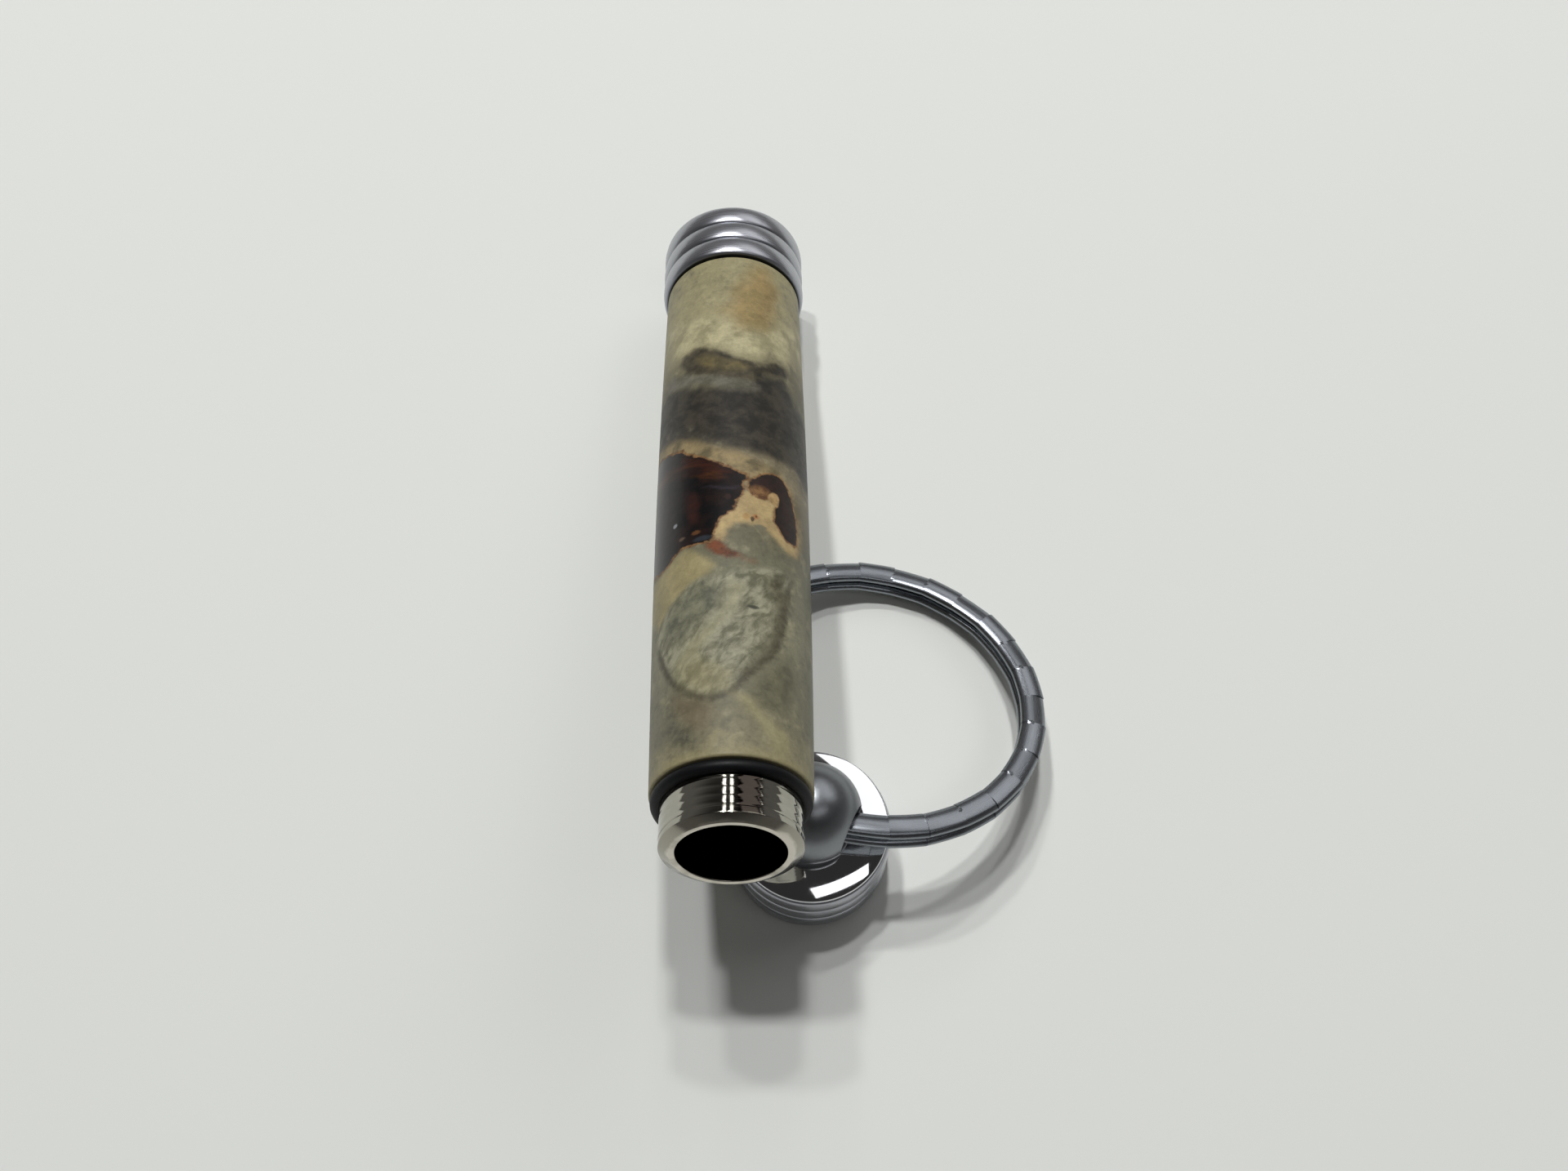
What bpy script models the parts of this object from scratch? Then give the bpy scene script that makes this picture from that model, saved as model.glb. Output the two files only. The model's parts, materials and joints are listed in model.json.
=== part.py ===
"""Keychain with a hidden compartment: a turned wooden barrel standing open beside its screw cap.

The cap stands on its mouth, the barrel leans on the cap's ball post with its far end on the
surface, and a two-turn wavy split ring hangs through the post's eye and slopes to the surface.
Turned pieces are drawn as closed outlines of (radius, height) and spun about their own axis.
"""
import math

import bmesh
import bpy
import numpy as np
from mathutils import Matrix, Vector

for stale in list(bpy.data.objects):
    bpy.data.objects.remove(stale, do_unlink=True)

MM = 0.001
TAU = 2.0 * math.pi

# How finely round pieces are cut.
facet_count = 44
facet_count_ball = 40
bead_steps = 5
fillet_steps = 3
wire_samples_wave = 8

# Clearances.
fit_gap = 0.30 * MM
lean_gap = 0.34 * MM
eye_gap = 0.33 * MM
table_gap = 0.04 * MM

# Barrel, measured along its own axis from the open mouth.
barrel_yaw_deg = 1.03
bore_radius = 4.76 * MM
mouth_radius = 5.61 * MM
thread_radius = 6.20 * MM
mouth_chamfer = 0.60 * MM
mouth_edge = 0.12 * MM
thread_length = 4.50 * MM
thread_pitch = 0.82 * MM
thread_turns = 5.4
neck_radius = 5.60 * MM
neck_length = 1.35 * MM
spigot_radius = 5.17 * MM
spigot_length = 8.0 * MM
ring_seal_thick = 1.25 * MM
tube_wall = 0.40 * MM
tube_end_inset = 0.35 * MM
wood_near_radius = 7.15 * MM
wood_belly_radius = 7.52 * MM
wood_lean_radius = 7.28 * MM
wood_far_radius = 7.22 * MM
wood_edge = 0.25 * MM
wood_length = 62.4 * MM
wood_rings = 9

# End cap: three beads on a plug that is pressed into the tube.
beads_each = 3
end_bead_pitch = 2.60 * MM
end_crest_radius = 7.74 * MM
bead_depth = 0.42 * MM
end_face_radius = 6.55 * MM
plug_length = 7.5 * MM

# Screw cap: three beads round a threaded cup, a polished dome on top.
cap_bead_pitch = 2.60 * MM
cap_crest_radius = 7.74 * MM
cap_bore_radius = 6.54 * MM
cap_bore_depth = 6.80 * MM
mouth_lead = 0.15 * MM
dome_radius = 7.45 * MM
dome_chamfer = 0.15 * MM
dome_edge_height = 0.20 * MM
dome_rise = 1.10 * MM
dome_flat_radius = 3.95 * MM
dome_steps = 6

# Ball post with flats and a cross eye, its shank riveted inside the cap.
ball_radius = 4.71 * MM
eye_wall = 0.61 * MM
ball_rows = 18
flat_share = 0.87
shank_radius = 1.55 * MM
rivet_radius = 2.45 * MM
rivet_thick = 0.55 * MM
rivet_edge = 0.20 * MM
washer_radius = 3.60 * MM
washer_thick = 0.60 * MM

# Split ring: flat wire, two turns, stamped into even waves.
coil_outer_radius = 17.5 * MM
wire_radial = 2.50 * MM
wire_thick = 0.95 * MM
turn_gap = 0.46 * MM
wave_height = 0.22 * MM
waves_per_turn = 14
wave_step_share = 0.30
wire_corner = 0.28 * MM
crossover_deg = 15.0
end_gap_deg = 2.2
crossover_at_deg = -67.0
coil_azimuth_deg = 65.9

# Where the cap stands and how far to its left the barrel's axis lies.
cap_x = 2.54 * MM
cap_y = 44.81 * MM
lean_along = 9.85 * MM
lean_side_deg = 35.15

# Shapes of the beads and of the tools that cut the eye.
bead_fullness = 0.8
eye_reach_share = 2.4
slope_rounds = 40


def paint(name, colour, metallic, roughness):
    """One plain material for one piece."""
    material = bpy.data.materials.new(name)
    material.use_nodes = True
    shader = material.node_tree.nodes["Principled BSDF"]
    shader.inputs["Base Color"].default_value = (*colour, 1.0)
    shader.inputs["Metallic"].default_value = metallic
    shader.inputs["Roughness"].default_value = roughness
    return material


def add_piece(name, mesh_data, material, matrix, smooth_deg=30.0):
    """Puts a finished mesh into the scene at its place."""
    mesh = bpy.data.meshes.new(name)
    mesh_data.to_mesh(mesh)
    mesh_data.free()
    mesh.shade_smooth()
    mesh.set_sharp_from_angle(angle=math.radians(smooth_deg))
    mesh.materials.append(material)
    piece = bpy.data.objects.new(name, mesh)
    piece.matrix_world = matrix
    bpy.context.scene.collection.objects.link(piece)
    return piece


def spun(outline, facets):
    """Closed (radius, height) outline turned once about Z; points on the axis close to poles."""
    data = bmesh.new()
    rows = []
    for radius, height in outline:
        if radius <= 0.0:
            rows.append([data.verts.new((0.0, 0.0, height))])
        else:
            rows.append([data.verts.new((radius * math.cos(TAU * k / facets),
                                         radius * math.sin(TAU * k / facets), height))
                         for k in range(facets)])
    for low, high in zip(rows, rows[1:] + rows[:1]):
        for k in range(facets):
            nxt = (k + 1) % facets
            if len(low) == 1 and len(high) == 1:
                break
            if len(low) == 1:
                data.faces.new((low[0], high[nxt], high[k]))
            elif len(high) == 1:
                data.faces.new((low[k], low[nxt], high[0]))
            else:
                data.faces.new((low[k], low[nxt], high[nxt], high[k]))
    bmesh.ops.recalc_face_normals(data, faces=data.faces)
    return data


def fillet(centre_r, centre_z, radius, start_deg, end_deg):
    """Points of a quarter round on an outline, from one angle to the other."""
    return [(centre_r + radius * math.cos(math.radians(start_deg + (end_deg - start_deg) * k / fillet_steps)),
             centre_z + radius * math.sin(math.radians(start_deg + (end_deg - start_deg) * k / fillet_steps)))
            for k in range(fillet_steps + 1)]


def beads(crest, depth, top, pitch, count):
    """Outline of half-round beads running down from top: each a shallow arc between two grooves."""
    points = []
    for bead in range(count):
        centre = top - pitch * (bead + 0.5)
        for k in range(bead_steps + 1):
            if k == 0 and bead > 0:
                continue
            turn = math.pi * (0.5 - k / bead_steps)
            swell = max(math.cos(turn), 0.0) ** bead_fullness
            points.append((crest - depth * (1.0 - swell), centre + 0.5 * pitch * math.sin(turn)))
    return points


# Heights down the barrel's own axis: 0 at the rim, negative towards the far end.
neck_bottom = -thread_length - neck_length
wood_top = neck_bottom - fit_gap
wood_bottom = wood_top - wood_length
end_top = wood_bottom - fit_gap
end_beads = beads(end_crest_radius, bead_depth, end_top, end_bead_pitch, beads_each)

# Heights up the cap, from the surface to the top of the dome.
cap_top = cap_bead_pitch * beads_each
dome_bottom = cap_top
dome_edge_top = dome_bottom + dome_chamfer + dome_edge_height
dome_top = dome_edge_top + dome_rise

# The split ring passes through the ball on a curve, so the eye clears its bow and its corners.
flat_distance = ball_radius * flat_share
middle_radius = coil_outer_radius - 0.5 * wire_radial
sagitta = middle_radius - math.sqrt(middle_radius ** 2 - flat_distance ** 2)
ball_to_centre = middle_radius - 0.5 * sagitta
stack_half = wire_thick + 0.5 * turn_gap + wave_height
corner_reach = math.hypot(0.5 * wire_radial + 0.5 * sagitta, stack_half)
eye_radius = corner_reach + eye_gap
ball_centre_height = dome_top + eye_wall + eye_radius
ball_centre = Vector((cap_x, cap_y, ball_centre_height))

# The barrel leans on the ball and its lowest bead rests on the surface: both fix its slope.
# The wood's radius at the ball is the largest that meets it over the barrel's travel.
yaw = math.radians(barrel_yaw_deg)
lean = wood_lean_radius + ball_radius + lean_gap
lean_side = math.radians(lean_side_deg)
lean_lift = lean * math.cos(lean_side)
slope = 0.0
for _ in range(slope_rounds):
    foot_radius, foot_height = max(end_beads, key=lambda at: at[0] * math.cos(slope) - at[1] * math.sin(slope))
    slope = math.asin((ball_centre_height - table_gap + (lean_lift - foot_radius) * math.cos(slope))
                      / (-foot_height - lean_along))
barrel_axis = Vector((math.sin(yaw) * math.cos(slope), -math.cos(yaw) * math.cos(slope), math.sin(slope)))
leftward = Vector((-math.cos(yaw), -math.sin(yaw), 0.0))
upward = leftward.cross(barrel_axis)
meet = ball_centre + leftward * (lean * math.sin(lean_side)) + upward * lean_lift
rim_centre = meet + barrel_axis * lean_along
barrel_matrix = (Matrix.Translation(rim_centre)
                 @ barrel_axis.to_track_quat("Z", "Y").to_matrix().to_4x4())

wood_paint = paint("burl_wood", (0.30, 0.21, 0.13), 0.0, 0.32)
brass_paint = paint("drawn_brass", (0.72, 0.52, 0.20), 1.0, 0.30)
nickel_paint = paint("bright_nickel", (0.62, 0.61, 0.58), 1.0, 0.16)
rubber_paint = paint("black_rubber", (0.012, 0.012, 0.013), 0.0, 0.50)
satin_paint = paint("satin_chrome", (0.42, 0.43, 0.46), 1.0, 0.34)
mirror_paint = paint("polished_chrome", (0.55, 0.56, 0.58), 1.0, 0.05)
steel_paint = paint("plain_steel", (0.45, 0.45, 0.46), 1.0, 0.28)
ring_paint = paint("nickel_wire", (0.48, 0.48, 0.50), 1.0, 0.20)

# Wooden barrel: a sleeve with a slight belly, its bore clear of the tube.
tube_inner = spigot_radius + fit_gap
tube_outer = tube_inner + tube_wall
wood_bore = tube_outer + fit_gap
wood = fillet(wood_near_radius - wood_edge, wood_top - wood_edge, wood_edge, 90, 0)
for k in range(1, wood_rings):
    share = k / wood_rings
    straight = wood_near_radius + (wood_far_radius - wood_near_radius) * share
    belly = (wood_belly_radius - 0.5 * (wood_near_radius + wood_far_radius)) * math.sin(math.pi * share)
    wood.append((straight + belly, wood_top - wood_length * share))
wood += fillet(wood_far_radius - wood_edge, wood_bottom + wood_edge, wood_edge, 0, -90)
wood += [(wood_bore, wood_bottom), (wood_bore, wood_top)]
add_piece("wooden_barrel", spun(wood, facet_count), wood_paint, barrel_matrix)

# Brass tube glued in the wood: the compartment's wall.
tube_top = wood_top - tube_end_inset
tube_bottom = wood_bottom + tube_end_inset
tube = [(tube_outer, tube_top), (tube_outer, tube_bottom), (tube_inner, tube_bottom), (tube_inner, tube_top)]
add_piece("brass_tube", spun(tube, facet_count), brass_paint, barrel_matrix)

# Threaded coupler: open mouth, thread, neck for the seal, spigot in the tube.
coupler = [(mouth_radius - mouth_edge, 0.0), (mouth_radius, -mouth_edge),
           (thread_radius, -mouth_chamfer), (thread_radius, -thread_length),
           (neck_radius, -thread_length), (neck_radius, neck_bottom),
           (spigot_radius, neck_bottom), (spigot_radius, neck_bottom - spigot_length),
           (bore_radius, neck_bottom - spigot_length),
           (bore_radius, -mouth_edge), (bore_radius + mouth_edge, 0.0)]
add_piece("threaded_coupler", spun(coupler, facet_count), nickel_paint, barrel_matrix)

# Rubber seal: a round cord ring that sits on the neck.
seal_centre_radius = neck_radius + 0.5 * fit_gap + 0.5 * ring_seal_thick + 0.5 * fit_gap
seal_height = -thread_length - 0.5 * neck_length
cord_points = 14
seal = [(seal_centre_radius + 0.5 * ring_seal_thick * math.cos(-TAU * k / cord_points),
         seal_height + 0.5 * ring_seal_thick * math.sin(-TAU * k / cord_points)) for k in range(cord_points)]
add_piece("o_ring", spun(seal, facet_count), rubber_paint, barrel_matrix)

# End cap: beads, a flat closing face and the plug in the tube.
end_bottom = end_top - end_bead_pitch * beads_each
end_cap = [(spigot_radius, end_top), (end_crest_radius - bead_depth, end_top)]
end_cap += end_beads[1:]
end_cap += [(end_face_radius, end_bottom - fit_gap), (0.0, end_bottom - fit_gap),
            (0.0, end_top + plug_length), (spigot_radius, end_top + plug_length)]
add_piece("end_cap", spun(end_cap, facet_count), satin_paint, barrel_matrix)

# Screw cap shell: mouth down on the surface, a web under the dome.
cap_matrix = Matrix.Translation((cap_x, cap_y, 0.0))
shank_hole = shank_radius + fit_gap
groove_radius = cap_crest_radius - bead_depth
shell = [(shank_hole, cap_top), (groove_radius, cap_top)]
shell += beads(cap_crest_radius, bead_depth, cap_top, cap_bead_pitch, beads_each)[1:]
shell += [(cap_bore_radius + mouth_lead, 0.0), (cap_bore_radius, mouth_lead),
          (cap_bore_radius, cap_bore_depth), (shank_hole, cap_bore_depth)]
add_piece("screw_cap", spun(shell, facet_count), satin_paint, cap_matrix)

# Polished dome seated on the shell, flat in the middle where the post stands.
dome = [(shank_hole, dome_bottom), (dome_radius - dome_chamfer, dome_bottom),
        (dome_radius, dome_bottom + dome_chamfer)]
for k in range(dome_steps + 1):
    turn = 0.5 * math.pi * k / dome_steps
    dome.append((dome_flat_radius + (dome_radius - dome_flat_radius) * math.cos(turn),
                 dome_edge_top + dome_rise * math.sin(turn)))
dome += [(shank_hole, dome_top)]
add_piece("cap_dome", spun(dome, facet_count), mirror_paint, cap_matrix)

# Ball post: ball on a shank, flats and cross eye cut in, rivet head under the washer.
washer_top = cap_bore_depth
rivet_top = washer_top - washer_thick
rivet_bottom = rivet_top - rivet_thick
seat_height = dome_top
seat_radius = math.sqrt(ball_radius ** 2 - (ball_centre_height - seat_height) ** 2)
seat_angle = math.acos((seat_height - ball_centre_height) / ball_radius)
post = []
for k in range(ball_rows + 1):
    turn = seat_angle * k / ball_rows
    post.append((ball_radius * math.sin(turn) if k else 0.0,
                 ball_centre_height + ball_radius * math.cos(turn)))
post += [(shank_radius, seat_height), (shank_radius, rivet_top), (rivet_radius, rivet_top),
         (rivet_radius, rivet_bottom + rivet_edge), (rivet_radius - rivet_edge, rivet_bottom),
         (0.0, rivet_bottom)]
ring_post = add_piece("ring_post", spun(post, facet_count_ball), satin_paint, cap_matrix)

# Washer between the rivet head and the cap's web.
washer = [(washer_radius, washer_top), (washer_radius, rivet_top),
          (shank_hole, rivet_top), (shank_hole, washer_top)]
add_piece("post_washer", spun(washer, facet_count), steel_paint, cap_matrix)

# The split ring's frame: local +X points from its centre to the ball.
coil_slope = 0.0
for _ in range(slope_rounds):
    coil_slope = math.asin((ball_centre_height - table_gap - stack_half * math.cos(coil_slope))
                           / (ball_to_centre + coil_outer_radius))
azimuth = math.radians(coil_azimuth_deg)
downhill = Vector((math.cos(azimuth) * math.cos(coil_slope),
                   math.sin(azimuth) * math.cos(coil_slope), -math.sin(coil_slope)))
coil_normal = Vector((math.cos(azimuth) * math.sin(coil_slope),
                      math.sin(azimuth) * math.sin(coil_slope), math.cos(coil_slope)))
coil_centre = ball_centre + downhill * ball_to_centre
coil_x = -downhill
coil_y = coil_normal.cross(coil_x)
coil_matrix = Matrix.Translation(coil_centre) @ Matrix((coil_x, coil_y, coil_normal)).transposed().to_4x4()

# The eye: a round cross hole that clears the wire's corners, and a flat at each end of it.
eye_direction = Vector((coil_y.x, coil_y.y, 0.0)).normalized()


def cutter(name, data, matrix):
    """A hidden shape that is cut out of the ball post."""
    mesh = bpy.data.meshes.new(name)
    data.to_mesh(mesh)
    data.free()
    tool = bpy.data.objects.new(name, mesh)
    tool.matrix_world = matrix
    tool.hide_render = True
    tool.display_type = "WIRE"
    bpy.context.scene.collection.objects.link(tool)
    cut = ring_post.modifiers.new(name, "BOOLEAN")
    cut.operation = "DIFFERENCE"
    cut.solver = "EXACT"
    cut.object = tool


eye_data = bmesh.new()
eye_reach = eye_reach_share * ball_radius
bmesh.ops.create_cone(eye_data, cap_ends=True, segments=facet_count_ball, radius1=eye_radius,
                      radius2=eye_radius, depth=eye_reach)
cutter("eye_cutter", eye_data, Matrix.Translation(ball_centre)
       @ eye_direction.to_track_quat("Z", "Y").to_matrix().to_4x4())
for side_name, sign in (("near", 1.0), ("far", -1.0)):
    slab = bmesh.new()
    bmesh.ops.create_cube(slab, size=eye_reach)
    slab_centre = ball_centre + eye_direction * sign * (flat_distance + 0.5 * eye_reach)
    lift = Vector((0.0, 0.0, seat_height + 0.5 * eye_reach - ball_centre_height + fit_gap))
    cutter("flat_cutter_" + side_name, slab, Matrix.Translation(slab_centre + lift)
           @ eye_direction.to_track_quat("X", "Z").to_matrix().to_4x4())

# Split ring wire: a rounded rectangle carried round two turns, one unbroken piece.
half_wide = 0.5 * wire_radial
half_thick = 0.5 * wire_thick
section = []
for quarter, (corner_x, corner_z) in enumerate(((1, 1), (-1, 1), (-1, -1), (1, -1))):
    for k in range(3):
        turn = 0.5 * math.pi * (quarter + 0.5 * k)
        section.append((corner_x * (half_wide - wire_corner) + wire_corner * math.cos(turn),
                        corner_z * (half_thick - wire_corner) + wire_corner * math.sin(turn)))


def wave(angle):
    """Stamped wave: level, short step, level, short step."""
    phase = (angle * waves_per_turn / TAU) % 1.0
    steps = max(-1.0, min(1.0, math.sin(TAU * phase) / math.sin(0.5 * math.pi * wave_step_share)))
    return wave_height * steps


def level(angle):
    """Height of the wire's middle: low turn, smooth crossover, high turn."""
    half = 0.5 * math.radians(crossover_deg)
    share = max(0.0, min(1.0, (angle - TAU + half) / (2.0 * half)))
    return (share * share * (3.0 - 2.0 * share) - 0.5) * (wire_thick + turn_gap)


wire_start = math.radians(0.5 * crossover_deg + end_gap_deg)
wire_end = 2.0 * TAU - wire_start
samples = int(round(2.0 * waves_per_turn * wire_samples_wave))
turn_offset = math.radians(crossover_at_deg)
wire = bmesh.new()
stations = []
for k in range(samples + 1):
    angle = wire_start + (wire_end - wire_start) * k / samples
    spot = angle + turn_offset
    height = level(angle) + wave(spot)
    stations.append([wire.verts.new(((middle_radius + x) * math.cos(spot),
                                     (middle_radius + x) * math.sin(spot), height + z))
                     for x, z in section])
for first, second in zip(stations, stations[1:]):
    for k in range(len(section)):
        nxt = (k + 1) % len(section)
        wire.faces.new((first[k], first[nxt], second[nxt], second[k]))
wire.faces.new(stations[0])
wire.faces.new(list(reversed(stations[-1])))
bmesh.ops.recalc_face_normals(wire, faces=wire.faces)
spots = np.array([[vert.co[:] for vert in row] for row in stations])
add_piece("split_ring", wire, ring_paint, coil_matrix)

# The least gap between the two turns, measured on the wire's own points.
apart = samples // 4
least = min(float(np.linalg.norm(spots[a][:, None, :] - spots[b:].reshape(-1, 3)[None], axis=2).min())
            for a in range(0, samples, 2) for b in [a + apart] if b < samples)
print("split ring least gap between turns mm %.3f" % (least / MM))

# One shared frame: the middle of the bounding box stands over the origin.
bpy.context.view_layer.update()
solids = [piece for piece in bpy.context.scene.objects if not piece.hide_render]
corners = np.array([piece.matrix_world @ vert.co for piece in solids for vert in piece.data.vertices])
shift = Vector((-0.5 * (corners[:, 0].min() + corners[:, 0].max()),
                -0.5 * (corners[:, 1].min() + corners[:, 1].max()), 0.0))
for piece in bpy.context.scene.objects:
    piece.matrix_world = Matrix.Translation(shift) @ piece.matrix_world
extent = (corners.max(0) - corners.min(0)) / MM
print("size mm", np.round(extent, 3), "lowest mm %.3f" % (corners[:, 2].min() / MM))
print("shift mm", [round(v / MM, 4) for v in shift], "barrel slope deg %.3f" % math.degrees(slope))
print("rim centre", [round(v, 6) for v in rim_centre + shift], "axis", [round(v, 6) for v in barrel_axis])
print("coil centre", [round(v, 6) for v in coil_centre + shift], "normal", [round(v, 6) for v in coil_normal])
print("ball centre", [round(v, 6) for v in ball_centre + shift], "eye radius mm %.3f" % (eye_radius / MM),
      "slope deg %.2f" % math.degrees(coil_slope))
print("cap foot", [round(v, 6) for v in Vector((cap_x, cap_y, 0.0)) + shift])
print("end face", [round(v, 6) for v in rim_centre + barrel_axis * (end_bottom - fit_gap) + shift])
print("screw travel mm %.4f" % (thread_pitch * thread_turns / MM), "turn deg %.1f" % (360.0 * thread_turns),
      "metres per radian %.9f" % (thread_pitch / TAU))
print("cap mouth annulus mm %.3f to %.3f" % ((cap_bore_radius + mouth_lead) / MM, groove_radius / MM),
      "rivet foot mm %.3f" % (rivet_bottom / MM))
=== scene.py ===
import json
import math

import bmesh
import bpy
import numpy as np
from mathutils import Matrix, Vector


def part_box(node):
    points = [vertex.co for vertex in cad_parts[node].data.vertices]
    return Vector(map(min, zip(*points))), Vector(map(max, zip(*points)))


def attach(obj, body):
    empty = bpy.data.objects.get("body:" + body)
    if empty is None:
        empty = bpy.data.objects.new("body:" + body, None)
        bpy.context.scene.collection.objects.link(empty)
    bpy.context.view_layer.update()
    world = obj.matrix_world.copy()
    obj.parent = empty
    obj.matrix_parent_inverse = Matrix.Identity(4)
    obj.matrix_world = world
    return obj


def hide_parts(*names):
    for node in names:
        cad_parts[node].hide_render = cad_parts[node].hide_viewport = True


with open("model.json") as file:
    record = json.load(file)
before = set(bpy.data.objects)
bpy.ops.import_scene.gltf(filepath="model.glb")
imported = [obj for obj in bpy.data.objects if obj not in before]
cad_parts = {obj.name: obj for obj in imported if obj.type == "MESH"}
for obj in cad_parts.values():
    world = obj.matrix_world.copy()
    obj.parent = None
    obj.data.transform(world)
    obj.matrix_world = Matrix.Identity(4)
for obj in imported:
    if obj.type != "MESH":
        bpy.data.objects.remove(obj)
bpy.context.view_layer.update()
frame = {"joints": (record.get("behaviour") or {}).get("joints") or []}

TAU = 2.0 * math.pi
IN_MM = Matrix.Scale(0.001, 4)
PER_MM = 1000.0  # Object coordinates are metres, so a pattern's repeats in each millimetre are times this.

barrel_turn = next(joint for joint in frame["joints"] if joint["name"] == "barrel_turn")
rim_centre = Vector(barrel_turn["pos_m"])
towards_mouth = Vector(barrel_turn["axis"]).normalized()
rightward = Vector((0.0, 0.0, 1.0)).cross(towards_mouth).normalized()
topward = towards_mouth.cross(rightward)
barrel_frame = Matrix((rightward, topward, towards_mouth)).transposed().to_4x4()
barrel_place = Matrix.Translation(rim_centre) @ barrel_frame @ IN_MM


def ink(hex_colour):
    """An sRGB hex colour as the linear one that a shader takes."""
    channels = [int(hex_colour[k:k + 2], 16) / 255.0 for k in (1, 3, 5)]
    return (*[c / 12.92 if c <= 0.04045 else ((c + 0.055) / 1.055) ** 2.4 for c in channels], 1.0)


def add(tree, kind, inputs=None, output=None, **settings):
    """Adds a shader node and gives its named output, or else its first one.

    inputs gives each socket a value, or another node's output to be linked to.
    """
    new = tree.nodes.new("ShaderNode" + kind)
    for key, value in settings.items():
        setattr(new, key, value)
    for key, value in (inputs or {}).items():
        if isinstance(value, bpy.types.NodeSocket):
            tree.links.new(value, new.inputs[key])
        else:
            new.inputs[key].default_value = value
    return new.outputs[output] if output else next(each for each in new.outputs if each.enabled)


def new_finish(name):
    """A new material, its node tree and its shader."""
    finish = bpy.data.materials.new(name)
    finish.use_nodes = True
    return finish, finish.node_tree, finish.node_tree.nodes["Principled BSDF"]


def rounding(centre_r, centre_z, radius, start_deg, end_deg, steps=6):
    """Outline points of a rounded corner."""
    turns = np.radians(np.linspace(start_deg, end_deg, steps + 1))
    return [(centre_r + radius * math.cos(t), centre_z + radius * math.sin(t)) for t in turns]


def turned(outline, steps):
    """A lathe-turned form in millimetres: the outline of (radius, height) points goes once round Z."""
    shape = bmesh.new()
    points = [shape.verts.new((radius, 0.0, height)) for radius, height in outline]
    pairs = list(zip(points, points[1:]))
    if outline[0][0] > 0.0 or outline[-1][0] > 0.0:
        pairs.append((points[-1], points[0]))
    edges = [shape.edges.new(pair) for pair in pairs]
    bmesh.ops.spin(shape, geom=points + edges, cent=(0, 0, 0), axis=(0, 0, 1), dvec=(0, 0, 0), angle=TAU,
                   steps=steps, use_merge=True, use_duplicate=False)
    bmesh.ops.remove_doubles(shape, verts=shape.verts, dist=1e-5)
    bmesh.ops.recalc_face_normals(shape, faces=shape.faces)
    return shape


def settle(name, shape, place, finish, body, node, fields=None, smooth_deg=40.0):
    """Puts a shape at its place with its finish, its fields measured in the shape's own millimetres."""
    mesh = bpy.data.meshes.new(name)
    shape.to_mesh(mesh)
    shape.free()
    spots = np.array([vert.co for vert in mesh.vertices])
    for field, measure in (fields or {}).items():
        values = np.asarray(measure(spots), dtype=np.float32)
        kind, key = ("FLOAT_VECTOR", "vector") if values.ndim == 2 else ("FLOAT", "value")
        mesh.attributes.new(field, kind, "POINT").data.foreach_set(key, values.ravel())
    mesh.transform(place)
    mesh.materials.append(finish)
    mesh.shade_smooth()
    mesh.set_sharp_from_angle(angle=math.radians(smooth_deg))
    piece = bpy.data.objects.new(name, mesh)
    bpy.context.scene.collection.objects.link(piece)
    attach(piece, body)
    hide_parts(node)


wood_start, wood_end = -5.30, -68.55
near_radius, belly_radius, far_radius, wood_bore = 7.15, 7.52, 7.22, 6.17
wood_edge, wood_rows, skin_radius = 0.25, 240, 7.3
wood = rounding(near_radius - wood_edge, wood_start - wood_edge, wood_edge, 90, 0)
for share in np.linspace(0.0, 1.0, wood_rows)[2:-2]:
    swell = (belly_radius - 0.5 * (near_radius + far_radius)) * math.sin(math.pi * share)
    wood.append((near_radius + (far_radius - near_radius) * share + swell,
                 wood_start + (wood_end - wood_start) * share))
wood += rounding(far_radius - wood_edge, wood_end + wood_edge, wood_edge, 0, -90)
wood += [(wood_bore, wood_end), (wood_bore, wood_start)]


def unroll(spots):
    """The skin laid flat: millimetres round from the top, to the right, and millimetres from the rim."""
    x, y, z = spots.T
    return np.stack([skin_radius * np.arctan2(x, y), -z, 0.0 * z], axis=1)


def reach(outline):
    """Measures millimetres from the skin to a drawn outline of the figure, negative inside it."""
    start = np.array(outline)
    step = np.roll(start, -1, axis=0) - start

    def measure(spots):
        skin = unroll(spots)[:, None, :2]
        away = skin - start
        share = np.clip((away * step).sum(2) / (step * step).sum(1), 0.0, 1.0)
        least = np.sqrt(((away - share[..., None] * step) ** 2).sum(2).min(1))
        rise = np.where(np.abs(step[:, 1]) < 1e-9, 1e-9, step[:, 1])
        spans = (start[:, 1] > skin[..., 1]) != (start[:, 1] + step[:, 1] > skin[..., 1])
        left = skin[..., 0] < start[:, 0] + step[:, 0] * (skin[..., 1] - start[:, 1]) / rise
        return np.where((spans & left).sum(1) % 2 == 1, -least, least)

    return measure


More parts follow.
